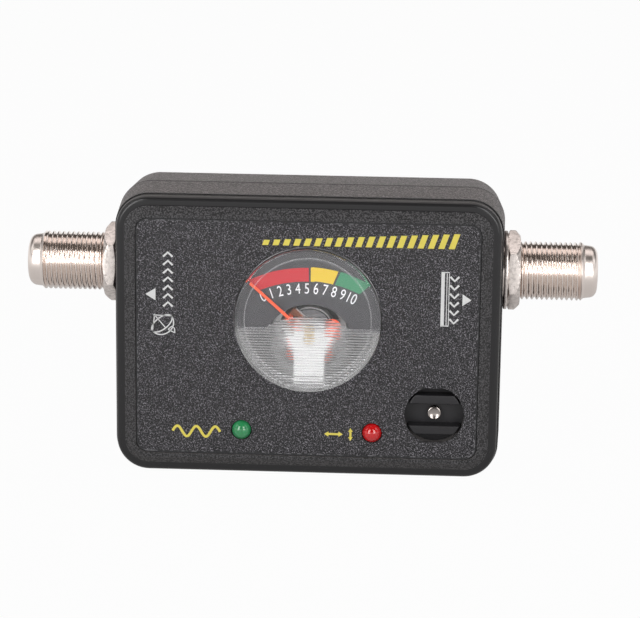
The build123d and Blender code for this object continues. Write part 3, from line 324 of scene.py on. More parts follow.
def clear_material():
    """The lens: clear over the scale, a little hazy in its thick ring and milky where it is ribbed. Painted
    highlights make the ribs' upward facets and the ring's inner edge milkier, where they face the lamps.
    """
    s = Shader(
        "clear_plastic", (0.97, 0.97, 0.975), 0.03, Transmission_Weight=1.0, IOR=1.49,
        Specular_IOR_Level=0.35,
    )
    ring_haze, ring_line_highlight, ring_line_mm = 0.008, 0.12, 0.07
    rib_haze_low, rib_haze_high, rib_rough = 0.03, 0.27, 0.2
    across = s.math("SUBTRACT", s.axis("X"), DIAL_CENTRE[0] * MM)
    up = s.math("SUBTRACT", s.axis("Z"), CASE_HEIGHT / 2 * MM)
    from_centre = s.length(across, s.math("SUBTRACT", up, DIAL_CENTRE[1] * MM))
    ring = s.math("GREATER_THAN", from_centre, RING_INNER * MM)
    # Painted highlight: a thin milky line round the ring's inner edge stands in for the light that edge
    # catches.
    ring_line = s.math("COMPARE", from_centre, RING_INNER * MM)
    ring_line.node.inputs[2].default_value = ring_line_mm * MM

    low = s.math("LESS_THAN", up, RIB_FIELD_TOP * MM)
    from_arch = s.length(across, s.math("SUBTRACT", up, (RIB_ARCH_TOP - RIB_ARCH_RADIUS) * MM))
    ribbed = s.math("MAXIMUM", low, s.math("LESS_THAN", from_arch, RIB_ARCH_RADIUS * MM))
    smear = s.spread(s.noise(0.5), *NOISE_RANGE, 0.02, 0.06)
    s.rough(s.math("ADD", smear, s.math("MULTIPLY", ribbed, rib_rough)))

    ribs = s.math("DIVIDE", s.math("SUBTRACT", RIB_ARCH_TOP * MM, up), RIB_SPACING * MM)
    # Painted highlight: the ribs' upward facets, which face the lamps, get a larger share of milky white than
    # the downward ones.
    upper_facet_highlight = s.spread(s.math("FRACT", ribs), 0.42, 0.62, rib_haze_low, rib_haze_high)
    inner_share = s.spread(ring, 0.0, 1.0, 1.0, 0.55)
    rib_haze = s.math("MULTIPLY", ribbed, s.math("MULTIPLY", upper_facet_highlight, inner_share))
    haze = s.math("ADD", s.math("MULTIPLY", ring, ring_haze), rib_haze)
    haze = s.math("ADD", haze, s.math("MULTIPLY", ring_line, ring_line_highlight))
    milk = s.node("ShaderNodeBsdfDiffuse")
    milk.inputs["Color"].default_value = (0.84, 0.83, 0.84, 1.0)
    let_light_through(s, s.mix_shaders(haze, s.main.outputs[0], milk.outputs[0]))
    return s.mat


def lamp_material(name, color, glow):
    """Tinted epoxy, with a little of its colour let through."""
    s = Shader(
        name, color, 0.14, Subsurface_Weight=0.25, Subsurface_Scale=0.0006, Subsurface_Radius=glow,
        Specular_IOR_Level=0.9,
    )
    dark = tuple(c * 0.8 for c in color)
    s.color(s.ramp(s.noise(1.2), [(0.3, dark), (0.7, color)]))
    return s.mat


def dial_material():
    """The dial plate: dark grey print with a paler cut edge."""
    s = Shader("dial_print", (0.052, 0.05, 0.055), 0.5)
    geometry = s.node("ShaderNodeNewGeometry")
    split = s.node("ShaderNodeSeparateXYZ")
    s.link(geometry.outputs["True Normal"], split.inputs["Vector"])
    on_face = s.math("GREATER_THAN", s.math("ABSOLUTE", split.outputs["Y"]), 0.7)
    uneven = s.noise(0.8, detail=3.0)
    face = s.ramp(uneven, [(0.3, (0.044, 0.042, 0.047)), (0.7, (0.058, 0.056, 0.061))])
    s.color(s.mix(on_face, (0.75, 0.75, 0.74, 1.0), face))
    return s.mat


# Each plain material's colour, roughness and share of metal.
PLAIN_MATERIALS = {
    "smoke_plastic": ((0.17, 0.165, 0.16), 0.35, 0.0),
    "white_plastic": ((0.7, 0.695, 0.69), 0.4, 0.0),
    "black_plastic": ((0.02, 0.02, 0.022), 0.45, 0.0),
    "knob_plastic": ((0.015, 0.014, 0.016), 0.42, 0.0),
    "jack_plastic": ((0.78, 0.78, 0.74), 0.45, 0.0),
    "screw_steel": ((0.55, 0.55, 0.56), 0.35, 1.0),
    "spindle_metal": ((0.4, 0.36, 0.34), 0.22, 1.0),
    "yoke_steel": ((0.5, 0.5, 0.5), 0.35, 1.0),
    "magnet": ((0.25, 0.25, 0.26), 0.5, 1.0),
    "brass_parts": ((0.78, 0.6, 0.32), 0.3, 1.0),
    "contact_metal": ((0.78, 0.55, 0.33), 0.3, 1.0),
    "copper_wire": ((0.34, 0.13, 0.07), 0.35, 0.6),
    "coil_aluminium": ((0.75, 0.75, 0.76), 0.35, 1.0),
    "pointer_paint": ((0.85, 0.1, 0.03), 0.45, 0.0),
    "tinned_wire": ((0.7, 0.7, 0.7), 0.3, 1.0),
    "board": ((0.03, 0.16, 0.07), 0.4, 0.0),
    "capacitor_sleeve": ((0.05, 0.07, 0.14), 0.35, 0.0),
    "ferrite": ((0.09, 0.09, 0.09), 0.55, 0.0),
    "ceramic": ((0.55, 0.42, 0.27), 0.5, 0.0),
    "dial_white": ((0.85, 0.85, 0.87), 0.5, 0.0),
    "dial_red": ((0.52, 0.018, 0.028), 0.5, 0.0),
    "dial_yellow": ((0.7, 0.48, 0.03), 0.5, 0.0),
    "dial_green": ((0.045, 0.24, 0.12), 0.5, 0.0),
}
materials = {name: plain_material(name, *look) for name, look in PLAIN_MATERIALS.items()}
materials.update({
    "case_plastic": case_material(),
    "label_film": label_material(),
    "label_rim": label_rim_material(),
    "clear_plastic": clear_material(),
    "dial_print": dial_material(),
    "nickel": nickel_material(),
    "stamped_nickel": stamped_nickel_material(),
    "green_lamp": lamp_material("green_lamp", (0.035, 0.34, 0.12), (0.2, 1.0, 0.3)),
    "red_lamp": lamp_material("red_lamp", (0.72, 0.006, 0.008), (1.0, 0.15, 0.1)),
    "yellow_print": print_material("yellow_print", (0.85, 0.72, 0.12)),
    "white_print": print_material("white_print", (0.8, 0.8, 0.8)),
})
slots = {row["node"]: row["material_slot"] for row in frame["record"]["subparts"]}

# Shading and edges of the frame's pieces
WELD_DISTANCE = 0.002
SOFT_BEND = 25
STAMPED = ("left_nut", "right_nut", "right_washer")
STAMPED_EDGE = 0.16
STAMPED_BEND = 28


class GeometryGroup(Nodes):
    """A group of geometry nodes, with its first and its last node."""

    def __init__(self, name):
        super().__init__(bpy.data.node_groups.new(name, "GeometryNodeTree"))
        for way in ("INPUT", "OUTPUT"):
            self.tree.interface.new_socket("Geometry", in_out=way, socket_type="NodeSocketGeometry")
        self.start = self.node("NodeGroupInput")
        self.end = self.node("NodeGroupOutput")


def smoothing_group():
    """Welds a CAD mesh and shades it smooth where it bends by little."""
    g = GeometryGroup("soft_shading")
    weld = g.node("GeometryNodeMergeByDistance")
    weld.inputs["Distance"].default_value = WELD_DISTANCE * MM
    smooth = g.node("GeometryNodeSetShadeSmooth", domain="FACE")
    smooth.inputs["Shade Smooth"].default_value = True
    sharp = g.node("GeometryNodeSetShadeSmooth", domain="EDGE")
    sharp.inputs["Shade Smooth"].default_value = False
    angle = g.node("GeometryNodeInputMeshEdgeAngle")
    above = g.node("FunctionNodeCompare", data_type="FLOAT", operation="GREATER_THAN")
    above.inputs[1].default_value = math.radians(SOFT_BEND)
    g.link(g.start.outputs[0], weld.inputs["Geometry"])
    g.link(weld.outputs["Geometry"], smooth.inputs["Geometry"])
    g.link(smooth.outputs["Geometry"], sharp.inputs["Geometry"])
    g.link(angle.outputs["Unsigned Angle"], above.inputs[0])
    g.link(above.outputs["Result"], sharp.inputs["Selection"])
    g.link(sharp.outputs["Geometry"], g.end.inputs[0])
    return g.tree


def round_edges(obj):
    """Welds a CAD mesh and breaks its sharp edges, as tumbling and plating do."""
    weld = obj.modifiers.new("weld", "WELD")
    weld.merge_threshold = WELD_DISTANCE * MM
    edge = obj.modifiers.new("edge_round", "BEVEL")
    edge.width = STAMPED_EDGE * MM
    edge.segments = 2
    edge.limit_method = "ANGLE"
    edge.angle_limit = math.radians(STAMPED_BEND)
    edge.use_clamp_overlap = True


def window_room_group():
    """Eases the label's window away from the knob, whose rounded rails only just pass it when they turn."""
    g = GeometryGroup("window_room")
    place = g.node("GeometryNodeInputPosition")
    away = g.node("ShaderNodeVectorMath", operation="SUBTRACT")
    away.inputs[1].default_value = at(KNOB_CENTRE[0], LABEL_FACE, KNOB_CENTRE[1])
    flat = g.node("ShaderNodeVectorMath", operation="MULTIPLY")
    flat.inputs[1].default_value = (1.0, 0.0, 1.0)
    far = g.node("ShaderNodeVectorMath", operation="LENGTH")
    near = g.node("FunctionNodeCompare", data_type="FLOAT", operation="LESS_THAN")
    near.inputs[1].default_value = WINDOW_REACH * MM
    step = g.node("ShaderNodeVectorMath", operation="SCALE")
    step.inputs["Scale"].default_value = WINDOW_ROOM / WINDOW_REACH
    move = g.node("GeometryNodeSetPosition")
    g.link(place.outputs[0], away.inputs[0])
    g.link(away.outputs[0], flat.inputs[0])
    g.link(flat.outputs[0], far.inputs[0])
    g.link(far.outputs["Value"], near.inputs[0])
    g.link(flat.outputs[0], step.inputs[0])
    g.link(g.start.outputs[0], move.inputs["Geometry"])
    g.link(near.outputs["Result"], move.inputs["Selection"])
    g.link(step.outputs[0], move.inputs["Offset"])
    g.link(move.outputs["Geometry"], g.end.inputs[0])
    return g.tree


soft_shading = smoothing_group()
for name, obj in nodes.items():
    obj.data.materials.clear()
    obj.data.materials.append(materials["stamped_nickel" if name in STAMPED else slots[name]])
    if name in STAMPED:
        round_edges(obj)
    obj.modifiers.new("soft_shading", "NODES").node_group = soft_shading
nodes["face_label"].modifiers.new("window_room", "NODES").node_group = window_room_group()

# Pieces drawn over the frame
ROUND_STEPS = 40
LATHE_STEPS = 48
SMALL_BEND = 30


def ring_points(cx, cz, radius, start, end, count):
    return [
        (cx + radius * math.cos(math.radians(start + (end - start) * i / count)),
         cz + radius * math.sin(math.radians(start + (end - start) * i / count)))
        for i in range(count + 1)
    ]


def add_mesh(name, points, faces, material, body, smooth_angle=None):
    mesh = bpy.data.meshes.new(name)
    mesh.from_pydata([tuple(p) for p in points], [], faces)
    if smooth_angle is not None:
        mesh.shade_smooth()
        mesh.set_sharp_from_angle(angle=math.radians(smooth_angle))
    mesh.update()
    mesh.materials.append(materials[material])
    obj = bpy.data.objects.new(name, mesh)
    bpy.context.scene.collection.objects.link(obj)
    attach(obj, body)
    return obj


# Threaded barrels of the jacks
THREAD_RADIUS = 4.675
THREAD_PITCH = 0.794
THREAD_DEPTH = 0.44
THREAD_CREST = 0.14
THREAD_FLANK = 0.76
THREAD_CURVE = 1.15
THREAD_RUNOUT = 0.35
THREAD_SEGMENTS = 96
THREAD_BEND = 38
ROWS_PER_PITCH = 14
NUT_GRIP_RADIUS = 4.5
NUT_STEP = 0.01
PILOT_LENGTH = 2.55
PILOT_RADIUS = 4.25
PILOT_TIP_RADIUS = 4.15
PILOT_FOOT_RISE = 0.02
PILOT_FOOT_LENGTH = 0.08
TIP_ROUND = 1.3
TIP_STEPS = 8
BORE_RADIUS = 2.7
BORE_MOUTH = 0.1
STUB_END = 26.2
STUB_RADIUS = 3.6
FLANGE_INNER = 27.7
FLANGE_OUTER = 28.8
FLANGE_RADIUS = 5.5


def thread_cut(phase):
    """How deep the thread is cut at a share of its pitch: a V with a flat crest and a round root."""
    wave = abs(2 * (phase % 1.0) - 1.0)
    slope = min(max((wave - THREAD_CREST) / THREAD_FLANK, 0.0), 1.0)
    return slope ** THREAD_CURVE


def barrel_rows(nut_end, tip):
    """A barrel's rows of (place along it, radius, depth of thread), from its stub round to its bore."""
    rows = [
        (STUB_END, BORE_RADIUS, 0.0),
        (STUB_END, STUB_RADIUS, 0.0),
        (FLANGE_INNER, STUB_RADIUS, 0.0),
        (FLANGE_INNER, FLANGE_RADIUS, 0.0),
        (FLANGE_OUTER, FLANGE_RADIUS, 0.0),
        (FLANGE_OUTER, NUT_GRIP_RADIUS, 0.0),
        (nut_end - NUT_STEP, NUT_GRIP_RADIUS, 0.0),
    ]
    first, thread_end = nut_end + NUT_STEP, tip - PILOT_LENGTH
    steps = int((thread_end - first) / THREAD_PITCH * ROWS_PER_PITCH)
    for i in range(steps + 1):
        x = first + (thread_end - first) * i / steps
        fade = min((thread_end - x) / (THREAD_RUNOUT * THREAD_PITCH), 1.0)
        rows.append((x, THREAD_RADIUS, THREAD_DEPTH * max(fade, 0.0)))
    step = THREAD_RADIUS - PILOT_RADIUS
    rows.append((thread_end + step * 0.5, THREAD_RADIUS - step * 0.5, 0.0))
    rows.append((thread_end + step, PILOT_RADIUS + PILOT_FOOT_RISE, 0.0))
    rows.append((thread_end + step + PILOT_FOOT_LENGTH, PILOT_RADIUS, 0.0))
    centre_x, centre_r = tip - TIP_ROUND, PILOT_TIP_RADIUS - TIP_ROUND
    for i in range(TIP_STEPS + 1):
        turn = math.pi / 2 * i / TIP_STEPS
        rows.append((centre_x + TIP_ROUND * math.sin(turn), centre_r + TIP_ROUND * math.cos(turn), 0.0))
    return rows + [(tip - BORE_MOUTH, BORE_RADIUS, 0.0), (STUB_END, BORE_RADIUS, 0.0)]


def jack(side, nut_end, tip, thread_shift, name):
    """A jack's barrel with its real thread."""
    rows = barrel_rows(nut_end, tip)
    count = THREAD_SEGMENTS
    points, faces = [], []
    for x, radius, depth in rows:
        for k in range(count):
            turn = 2 * math.pi * k / count
            phase = (side * x + thread_shift) / THREAD_PITCH - k / count
            r = radius - (depth * thread_cut(phase) if depth else 0.0)
            points.append(at(side * x, JACK_DEPTH + r * math.cos(turn), JACK_UP + r * math.sin(turn)))
    for i in range(len(rows) - 1):
        for k in range(count):
            a, b = i * count + k, i * count + (k + 1) % count
            quad = (a, b, b + count, a + count)
            faces.append(quad if side > 0 else quad[::-1])
    return add_mesh(name, points, faces, "nickel", "housing", THREAD_BEND)


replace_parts(jack(-1, 32.95, 45.3, 0.0, "left_barrel"), "left_jack")
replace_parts(jack(1, 33.5, 45.8, 0.36, "right_barrel"), "right_jack")

# Needle, whose plates are given by the depths of their two faces
PIVOT = (0.3, 0.5)
REST_ANGLE = 138.0
HUB_PLATE = (2.85, 3.15)
HUB_INNER, HUB_OUTER = 0.33, 1.2
SHANK_START, SHANK_END = 1.1, 4.35
RISER_PLATE = (1.1, 3.1)
RISER_START, RISER_END = 4.0, 4.4
NEEDLE_PLATE = (0.9, 1.15)
NEEDLE_END = 12.6
NEEDLE_WIDTH, NEEDLE_TIP_WIDTH = 0.5, 0.42
ARM_WIDTH = 0.6
ARM_GAP = 0.8
BAR_TIP = 0.1
WEIGHT_HOLE = 0.12
WEIGHT_MARGIN = 0.15
WINDING_HOLE = 0.3
WINDING_TURNS = 3
WINDING_START = 0.04
WINDING_PITCH = 0.08
WINDING_WIRE = 0.06
# Each balance arm's angle and reach, and the radius of its weight.
BALANCE_ARMS = ((17.0, 3.8, 1.3), (222.0, 3.4, 1.1), (318.0, 3.4, 1.1))


def slab(outline, front, back, points, faces):
    """Adds a plate of one thickness, cut to an outline of (across, up) points."""
    start, count = len(points), len(outline)
    points += [at(x, front, z) for x, z in outline] + [at(x, back, z) for x, z in outline]
    faces.append(tuple(start + i for i in range(count)))
    faces.append(tuple(start + count + i for i in reversed(range(count))))
    for i in range(count):
        j = (i + 1) % count
        faces.append((start + i, start + count + i, start + count + j, start + j))


def washer(centre, inner, outer, front, back, points, faces):
    """Adds a flat ring."""
    start, count = len(points), ROUND_STEPS
    for depth, radius in ((front, inner), (front, outer), (back, outer), (back, inner)):
        for i in range(count):
            turn = 2 * math.pi * i / count
            points.append(at(centre[0] + radius * math.cos(turn), depth, centre[1] + radius * math.sin(turn)))
    for row in range(4):
        for i in range(count):
            j = (i + 1) % count
            a, b = start + row * count, start + (row + 1) % 4 * count
            faces.append((a + i, b + i, b + j, a + j))


def turned(along, aside, angle):
    """A place given along and beside a line that leaves the pivot at an angle."""
    c, s = math.cos(math.radians(angle)), math.sin(math.radians(angle))
    return (PIVOT[0] + along * c - aside * s, PIVOT[1] + along * s + aside * c)


def strip(start, end, width, end_width, angle):
    """The outline of a bar on such a line, with its end cut to a blunt tip."""
    sides = [(start, -width / 2), (end - BAR_TIP, -end_width / 2), (end, -end_width / 3)]
    return [turned(a, b, angle) for a, b in sides] + [turned(a, -b, angle) for a, b in reversed(sides)]


def needle_and_arms():
    """The pointer: a needle that steps forward over the dial, its hub and its wound balance weights."""
    points, faces = [], []
    washer(PIVOT, HUB_INNER, HUB_OUTER, *HUB_PLATE, points, faces)
    for start, end, end_width, plate in (
        (SHANK_START, SHANK_END, NEEDLE_WIDTH, HUB_PLATE),
        (RISER_START, RISER_END, NEEDLE_WIDTH, RISER_PLATE),
        (RISER_START, NEEDLE_END, NEEDLE_TIP_WIDTH, NEEDLE_PLATE),
    ):
        slab(strip(start, end, NEEDLE_WIDTH, end_width, REST_ANGLE), *plate, points, faces)
    for angle, reach, size in BALANCE_ARMS:
        slab(strip(SHANK_START, reach - ARM_GAP, ARM_WIDTH, ARM_WIDTH, angle), *HUB_PLATE, points, faces)
        weight = turned(reach, 0.0, angle)
        washer(weight, WEIGHT_HOLE, size - WEIGHT_MARGIN, *HUB_PLATE, points, faces)
        for i in range(WINDING_TURNS):
            front = HUB_PLATE[0] + WINDING_START + WINDING_PITCH * i
            outer = size - WINDING_WIRE * i
            washer(weight, WINDING_HOLE, outer, front, front + WINDING_WIRE, points, faces)
    return add_mesh("needle", points, faces, "pointer_paint", "pointer", SMALL_BEND)


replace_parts(needle_and_arms(), "pointer")

# Spindle of the control
SPINDLE_FRONT, SPINDLE_BACK = 1.6, 9.84
SPINDLE_RADIUS, SPINDLE_RIM = 1.05, 0.93
SPINDLE_EDGE = 0.12
SPINDLE_BREAK = 0.035
DISH_RADIUS = 1.7
DISH_STEPS = 12
AXIS_RADIUS = 0.001


def lathe(centre, rows):
    """The points and faces of a round piece on a front-to-back axis, from rows of (depth, radius)."""
    count = LATHE_STEPS
    points, faces = [], []
    for depth, radius in rows:
        ring = ring_points(*centre, max(radius, AXIS_RADIUS), 0, 360, count)[:-1]
        points += [at(x, depth, z) for x, z in ring]
    for i in range(len(rows) - 1):
        for k in range(count):
            a, b = i * count + k, i * count + (k + 1) % count
            faces.append((a, b, b + count, a + count))
    faces.append(tuple(range(count)))
    faces.append(tuple(reversed(range((len(rows) - 1) * count, len(rows) * count))))
    return points, faces


def spindle_end():
    """The control's metal spindle, whose end is turned to a shallow dish."""
    rows = [
        (SPINDLE_BACK, 0.0),
        (SPINDLE_BACK, SPINDLE_RADIUS),
        (SPINDLE_FRONT + SPINDLE_EDGE, SPINDLE_RADIUS),
        (SPINDLE_FRONT + SPINDLE_BREAK, SPINDLE_RADIUS - 0.04),
        (SPINDLE_FRONT, SPINDLE_RIM),
    ]
    for i in range(1, DISH_STEPS + 1):
        r = SPINDLE_RIM * (1 - i / DISH_STEPS)
        dip = math.sqrt(DISH_RADIUS**2 - r**2) - math.sqrt(DISH_RADIUS**2 - SPINDLE_RIM**2)
        rows.append((SPINDLE_FRONT + dip, r))
    points, faces = lathe(KNOB_CENTRE, rows)
    return add_mesh("dished_spindle", points, faces, "spindle_metal", "knob", SMALL_BEND)


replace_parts(spindle_end(), "knob_spindle")

# Ways to draw flat print
ARROW_SPREAD = 0.62


def flat_shapes(name, outlines, depth, material):
    """Flat printed shapes, each an outline of (across, up) points, at one depth."""
    points, faces = [], []
    for outline in outlines:
        start = len(points)
        points += [at(x, depth, z) for x, z in outline]
        faces.append(tuple(range(start, start + len(outline))))
    return add_mesh(name, points, faces, material, "housing")


def stroke(path, width, closed=False):
    """A band of one width along a path of (across, up) points, as quads."""
    pts = list(path)
    if closed:
        pts.append(pts[0])
    left, right = [], []
    for i, (x, z) in enumerate(pts):
        before = pts[max(i - 1, 0)]
        after = pts[min(i + 1, len(pts) - 1)]
        if closed and i in (0, len(pts) - 1):
            before, after = pts[-2], pts[1]
        dx, dz = after[0] - before[0], after[1] - before[1]
        length = math.hypot(dx, dz)
        nx, nz = -dz / length * width / 2, dx / length * width / 2
        left.append((x + nx, z + nz))
        right.append((x - nx, z - nz))
    return [[left[i], left[i + 1], right[i + 1], right[i]] for i in range(len(pts) - 1)]


def line(a, b, width):
    return stroke([a, b], width)


def arrow(tail, tip, width, head):
    dx, dz = tip[0] - tail[0], tip[1] - tail[1]
    length = math.hypot(dx, dz)
    ux, uz = dx / length, dz / length
    neck = (tip[0] - ux * head, tip[1] - uz * head)
    side = head * ARROW_SPREAD
    point = [tip, (neck[0] - uz * side, neck[1] + ux * side), (neck[0] + uz * side, neck[1] - ux * side)]
    return line(tail, neck, width) + [point]


# Print on the label, and a painted shadow and a painted highlight along its edge
PRINT_LIFT = 0.012
PRINT_DEPTH = LABEL_FACE - PRINT_LIFT
WAVE_STROKE = 0.42
CHEVRON_STROKE = 0.34
CHEVRON_RISE = 0.26


def title_motif():
    """A row of slanted yellow bars that grow to the right, along the top of the label."""
    low, high, shortest = 15.2, 17.6, 0.35
    x, width, pitch, slant, count = -7.2, 0.95, 1.62, 0.35, 19
    shapes = []
    for i in range(count):
        top = low + (high - low) * (shortest + (1 - shortest) * i / (count - 1))
        lean = slant * (top - low)
        shapes.append([(x, low), (x + width, low), (x + width + lean, top), (x + lean, top)])
        x += pitch
    return shapes


def sine_glyph():
    """A wave to the left of the first lamp."""
    left, mid_up, length, height, waves, steps = -21.3, -15.5, 7.6, 0.85, 2.5, 60
    path = []
    for i in range(steps + 1):
        share = i / steps
        path.append((left + length * share, mid_up + height * math.sin(2 * math.pi * waves * share)))
    return stroke(path, WAVE_STROKE)


def polarity_glyph():
    """A level and an upright double arrow to the left of the second lamp."""
    level, upright, mid_up, width = 4.4, 7.1, -15.4, 0.34
    level_reach, upright_reach = 1.5, 1.05
    shapes = []
    for way in (1, -1):
        shapes += arrow((level, mid_up), (level + level_reach * way, mid_up), width, head=0.7)
    for way in (1, -1):
        shapes += arrow((upright, mid_up), (upright, mid_up + upright_reach * way), width, head=0.6)
    return shapes


def dish_icon():
    """A round dish seen from one side, with its feed on three struts and a foot, by the dish cable's end."""
    cx, cz, lean = -22.97, 2.15, math.radians(40)
    long, short, back_short = 1.95, 0.95, 1.75
    rim_stroke, strut_stroke, foot_stroke, feed_radius = 0.2, 0.16, 0.18, 0.2

    def on_rim(turn, depth=short):
        u, v = long * math.cos(math.radians(turn)), depth * math.sin(math.radians(turn))
        return (cx + u * math.cos(lean) - v * math.sin(lean), cz + u * math.sin(lean) + v * math.cos(lean))

    rim = [on_rim(10 * i) for i in range(36)]
    back = [on_rim(-10 * i, back_short) for i in range(19)]
    feed = (cx - 1.15, cz + 1.35)
    shapes = stroke(rim, rim_stroke, closed=True) + stroke(back, rim_stroke)
    for turn in (0, 180, -90):
        shapes += line(feed, on_rim(turn), strut_stroke)
    shapes.append(ring_points(*feed, feed_radius, 0, 330, 11))
    foot = [(cx + 1.0, cz - 0.95), (cx + 1.55, cz - 0.45), (cx + 2.0, cz - 0.75), (cx + 2.05, cz - 1.5)]
    return shapes + stroke(foot, foot_stroke) + line(foot[0], foot[-1], foot_stroke)


def dash_column(x, low, high, count, width, turn):
    """A column of small chevrons that point along the cable's way."""
    shapes = []
    pitch = (high - low) / count
    for i in range(count):
        z = low + (i + 0.5) * pitch
        rise = turn * pitch * CHEVRON_RISE
        half = width / 2
        shapes += stroke([(x - half, z - rise), (x, z + rise), (x + half, z - rise)], CHEVRON_STROKE)
    return shapes


def side_marks():
    """The signs at the ends: a triangle and chevrons for each cable, a dish, and a bar beside two lines."""
    shapes = [[(-23.96, 7.87), (-23.96, 5.87), (-25.56, 6.87)], [(25.73, 7.05), (24.33, 6.08), (24.33, 8.01)]]
    shapes += dish_icon()
    shapes += dash_column(-22.0, 4.6, 14.0, count=7, width=1.5, turn=1)
    shapes += dash_column(23.05, 2.9, 11.1, count=6, width=1.4, turn=-1)
    left, right, low, high = 20.95, 21.5, 2.86, 11.37
    shapes.append([(left, low), (right, low), (right, high), (left, high)])
    for x in (21.85, 22.2):
        shapes += line((x, 2.9), (x, 11.3), width=0.12)
    for z in (11.45, 2.8):
        shapes += line((left, z), (22.25, z), width=0.16)
    return shapes


def rounded_frame(half_width, half_height, radius):
    """The corners' arcs and the sides of a rounded rectangle, as one path."""
    path = []
    for i, (sx, sz) in enumerate(((1, 1), (-1, 1), (-1, -1), (1, -1))):
        centre_x, centre_z = sx * (half_width - radius), sz * (half_height - radius)
        path += ring_points(centre_x, centre_z, radius, 90 * i, 90 * (i + 1), 8)
    return path


def label_border(inset, width):
    """A band round the label, its middle line a little in from the label's edge."""
    half_width, half_height = (half - inset for half in LABEL_HALF)
    return stroke(rounded_frame(half_width, half_height, LABEL_CORNER - inset), width, closed=True)


front_marks = title_motif() + sine_glyph() + polarity_glyph()
# Painted shadow: a black band over the label's edge stands in for the shade in the gap between the label and
# the case.
flat_shapes("label_gap_shadow", label_border(inset=0.09, width=0.18), PRINT_DEPTH, "black_plastic")
# Painted highlight: bright flecks along the label's edge, where its cut edge catches the light.
flat_shapes("label_rim", label_border(inset=0.26, width=0.16), PRINT_DEPTH, "label_rim")
flat_shapes("front_bars", front_marks, PRINT_DEPTH, "yellow_print")
flat_shapes("side_marks", side_marks(), PRINT_DEPTH, "white_print")

# Print on the dial
DIAL_PRINT_DEPTH = DIAL_FACE - PRINT_LIFT
ARC_ACROSS, ARC_UP = -0.13, -9.3
ARC_OUTER, ARC_INNER = 20.7, 18.5
SCALE_HUB = (0.4, 0.0)
NUMBER_RADIUS = 17.3
NUMBER_HEIGHT = 1.7
NUMBER_COUNT = 11
NUMBER_START = 113.5
NUMBER_STEP = 4.7
NUMBER_NARROWING = 0.72
FONT_HEIGHT_SHARE = 0.7


def inside_dial(x, z):
    return math.hypot(x - DIAL_CENTRE[0], z - DIAL_CENTRE[1]) <= DIAL_RADIUS


def on_arc(x_top, radius):
    """Where a circle of the scale is crossed by the line from its hub to a place on the outer arc."""
    top_z = ARC_UP + math.sqrt(ARC_OUTER**2 - (x_top - ARC_ACROSS) ** 2)
    dx, dz = x_top - SCALE_HUB[0], top_z - SCALE_HUB[1]
    ax, az = SCALE_HUB[0] - ARC_ACROSS, SCALE_HUB[1] - ARC_UP
    a = dx * dx + dz * dz
    b = 2 * (dx * ax + dz * az)
    c = ax * ax + az * az - radius * radius
    t = (-b + math.sqrt(b * b - 4 * a * c)) / (2 * a)
    return SCALE_HUB[0] + dx * t, SCALE_HUB[1] + dz * t


def arc_field(start_x, end_x, count):
    """A field of the scale between two places across, cut off where the plate ends."""
    quads = []
    for i in range(count):
        xa = start_x + (end_x - start_x) * i / count
        xb = start_x + (end_x - start_x) * (i + 1) / count
        quad = [on_arc(xa, ARC_OUTER), on_arc(xb, ARC_OUTER), on_arc(xb, ARC_INNER), on_arc(xa, ARC_INNER)]
        if all(inside_dial(*p) for p in quad):
            quads.append(quad)
    return quads


def dial_number(text, angle):
    """A number that stands on the scale's own circle."""
    curve = bpy.data.curves.new("digit", "FONT")
    curve.body = text
    curve.size = NUMBER_HEIGHT / FONT_HEIGHT_SHARE * MM
    curve.align_x = "CENTER"
    curve.align_y = "CENTER"
    holder = bpy.data.objects.new("digit", curve)
    bpy.context.scene.collection.objects.link(holder)
    bpy.context.view_layer.update()
    graph = bpy.context.evaluated_depsgraph_get()
    mesh = bpy.data.meshes.new_from_object(holder.evaluated_get(graph))
    bpy.data.objects.remove(holder)
    tilt = math.radians(90 - angle)
    x = ARC_ACROSS + NUMBER_RADIUS * math.cos(math.radians(angle))
    z = ARC_UP + NUMBER_RADIUS * math.sin(math.radians(angle))
    points = []
    for vertex in mesh.vertices:
        u, v = vertex.co.x / MM * NUMBER_NARROWING, vertex.co.y / MM
        right, rise = u * math.cos(tilt) + v * math.sin(tilt), v * math.cos(tilt) - u * math.sin(tilt)
        points.append((x + right, z + rise))
    return [[points[i] for i in face.vertices] for face in mesh.polygons]


# Each field's name, its start and end across the outer arc, its count of quads and its material.
for name, start_x, end_x, count, material in (
    ("dial_low_field", -10.6, 0.1, 60, "dial_red"),
    ("dial_middle_field", 0.45, 4.75, 28, "dial_yellow"),
    ("dial_high_field", 5.1, 10.6, 40, "dial_green"),
):
    flat_shapes(name, arc_field(start_x, end_x, count), DIAL_PRINT_DEPTH, material)

numbers = []
for i in range(NUMBER_COUNT):
    numbers += dial_number(str(i), NUMBER_START - NUMBER_STEP * i)
flat_shapes("dial_numbers", numbers, DIAL_PRINT_DEPTH, "dial_white")

# Floor, lamps and camera
FLOOR_HALF = 3.0
SHADE_START, SHADE_END = 10, 400
GLOW_NEAR, GLOW_FAR = 0.42, 0.97
LIGHT_TARGET = Vector((0, 0, 0.023))
CAMERA_PITCH, CAMERA_YAW, CAMERA_ROLL = 14.212, -2.502, 0.731
CAMERA_PLACE = (18.707, -381.935, 101.981)
CAMERA_LENS = 141.17


def seen_rays(n):
    """1 for the rays that show the background: straight from the camera, off metal and through glass."""
    path = n.node("ShaderNodeLightPath")
    total = path.outputs["Is Camera Ray"]
    for name in ("Is Glossy Ray", "Is Transmission Ray"):
        total = n.math("MAXIMUM", total, path.outputs[name])
    return total


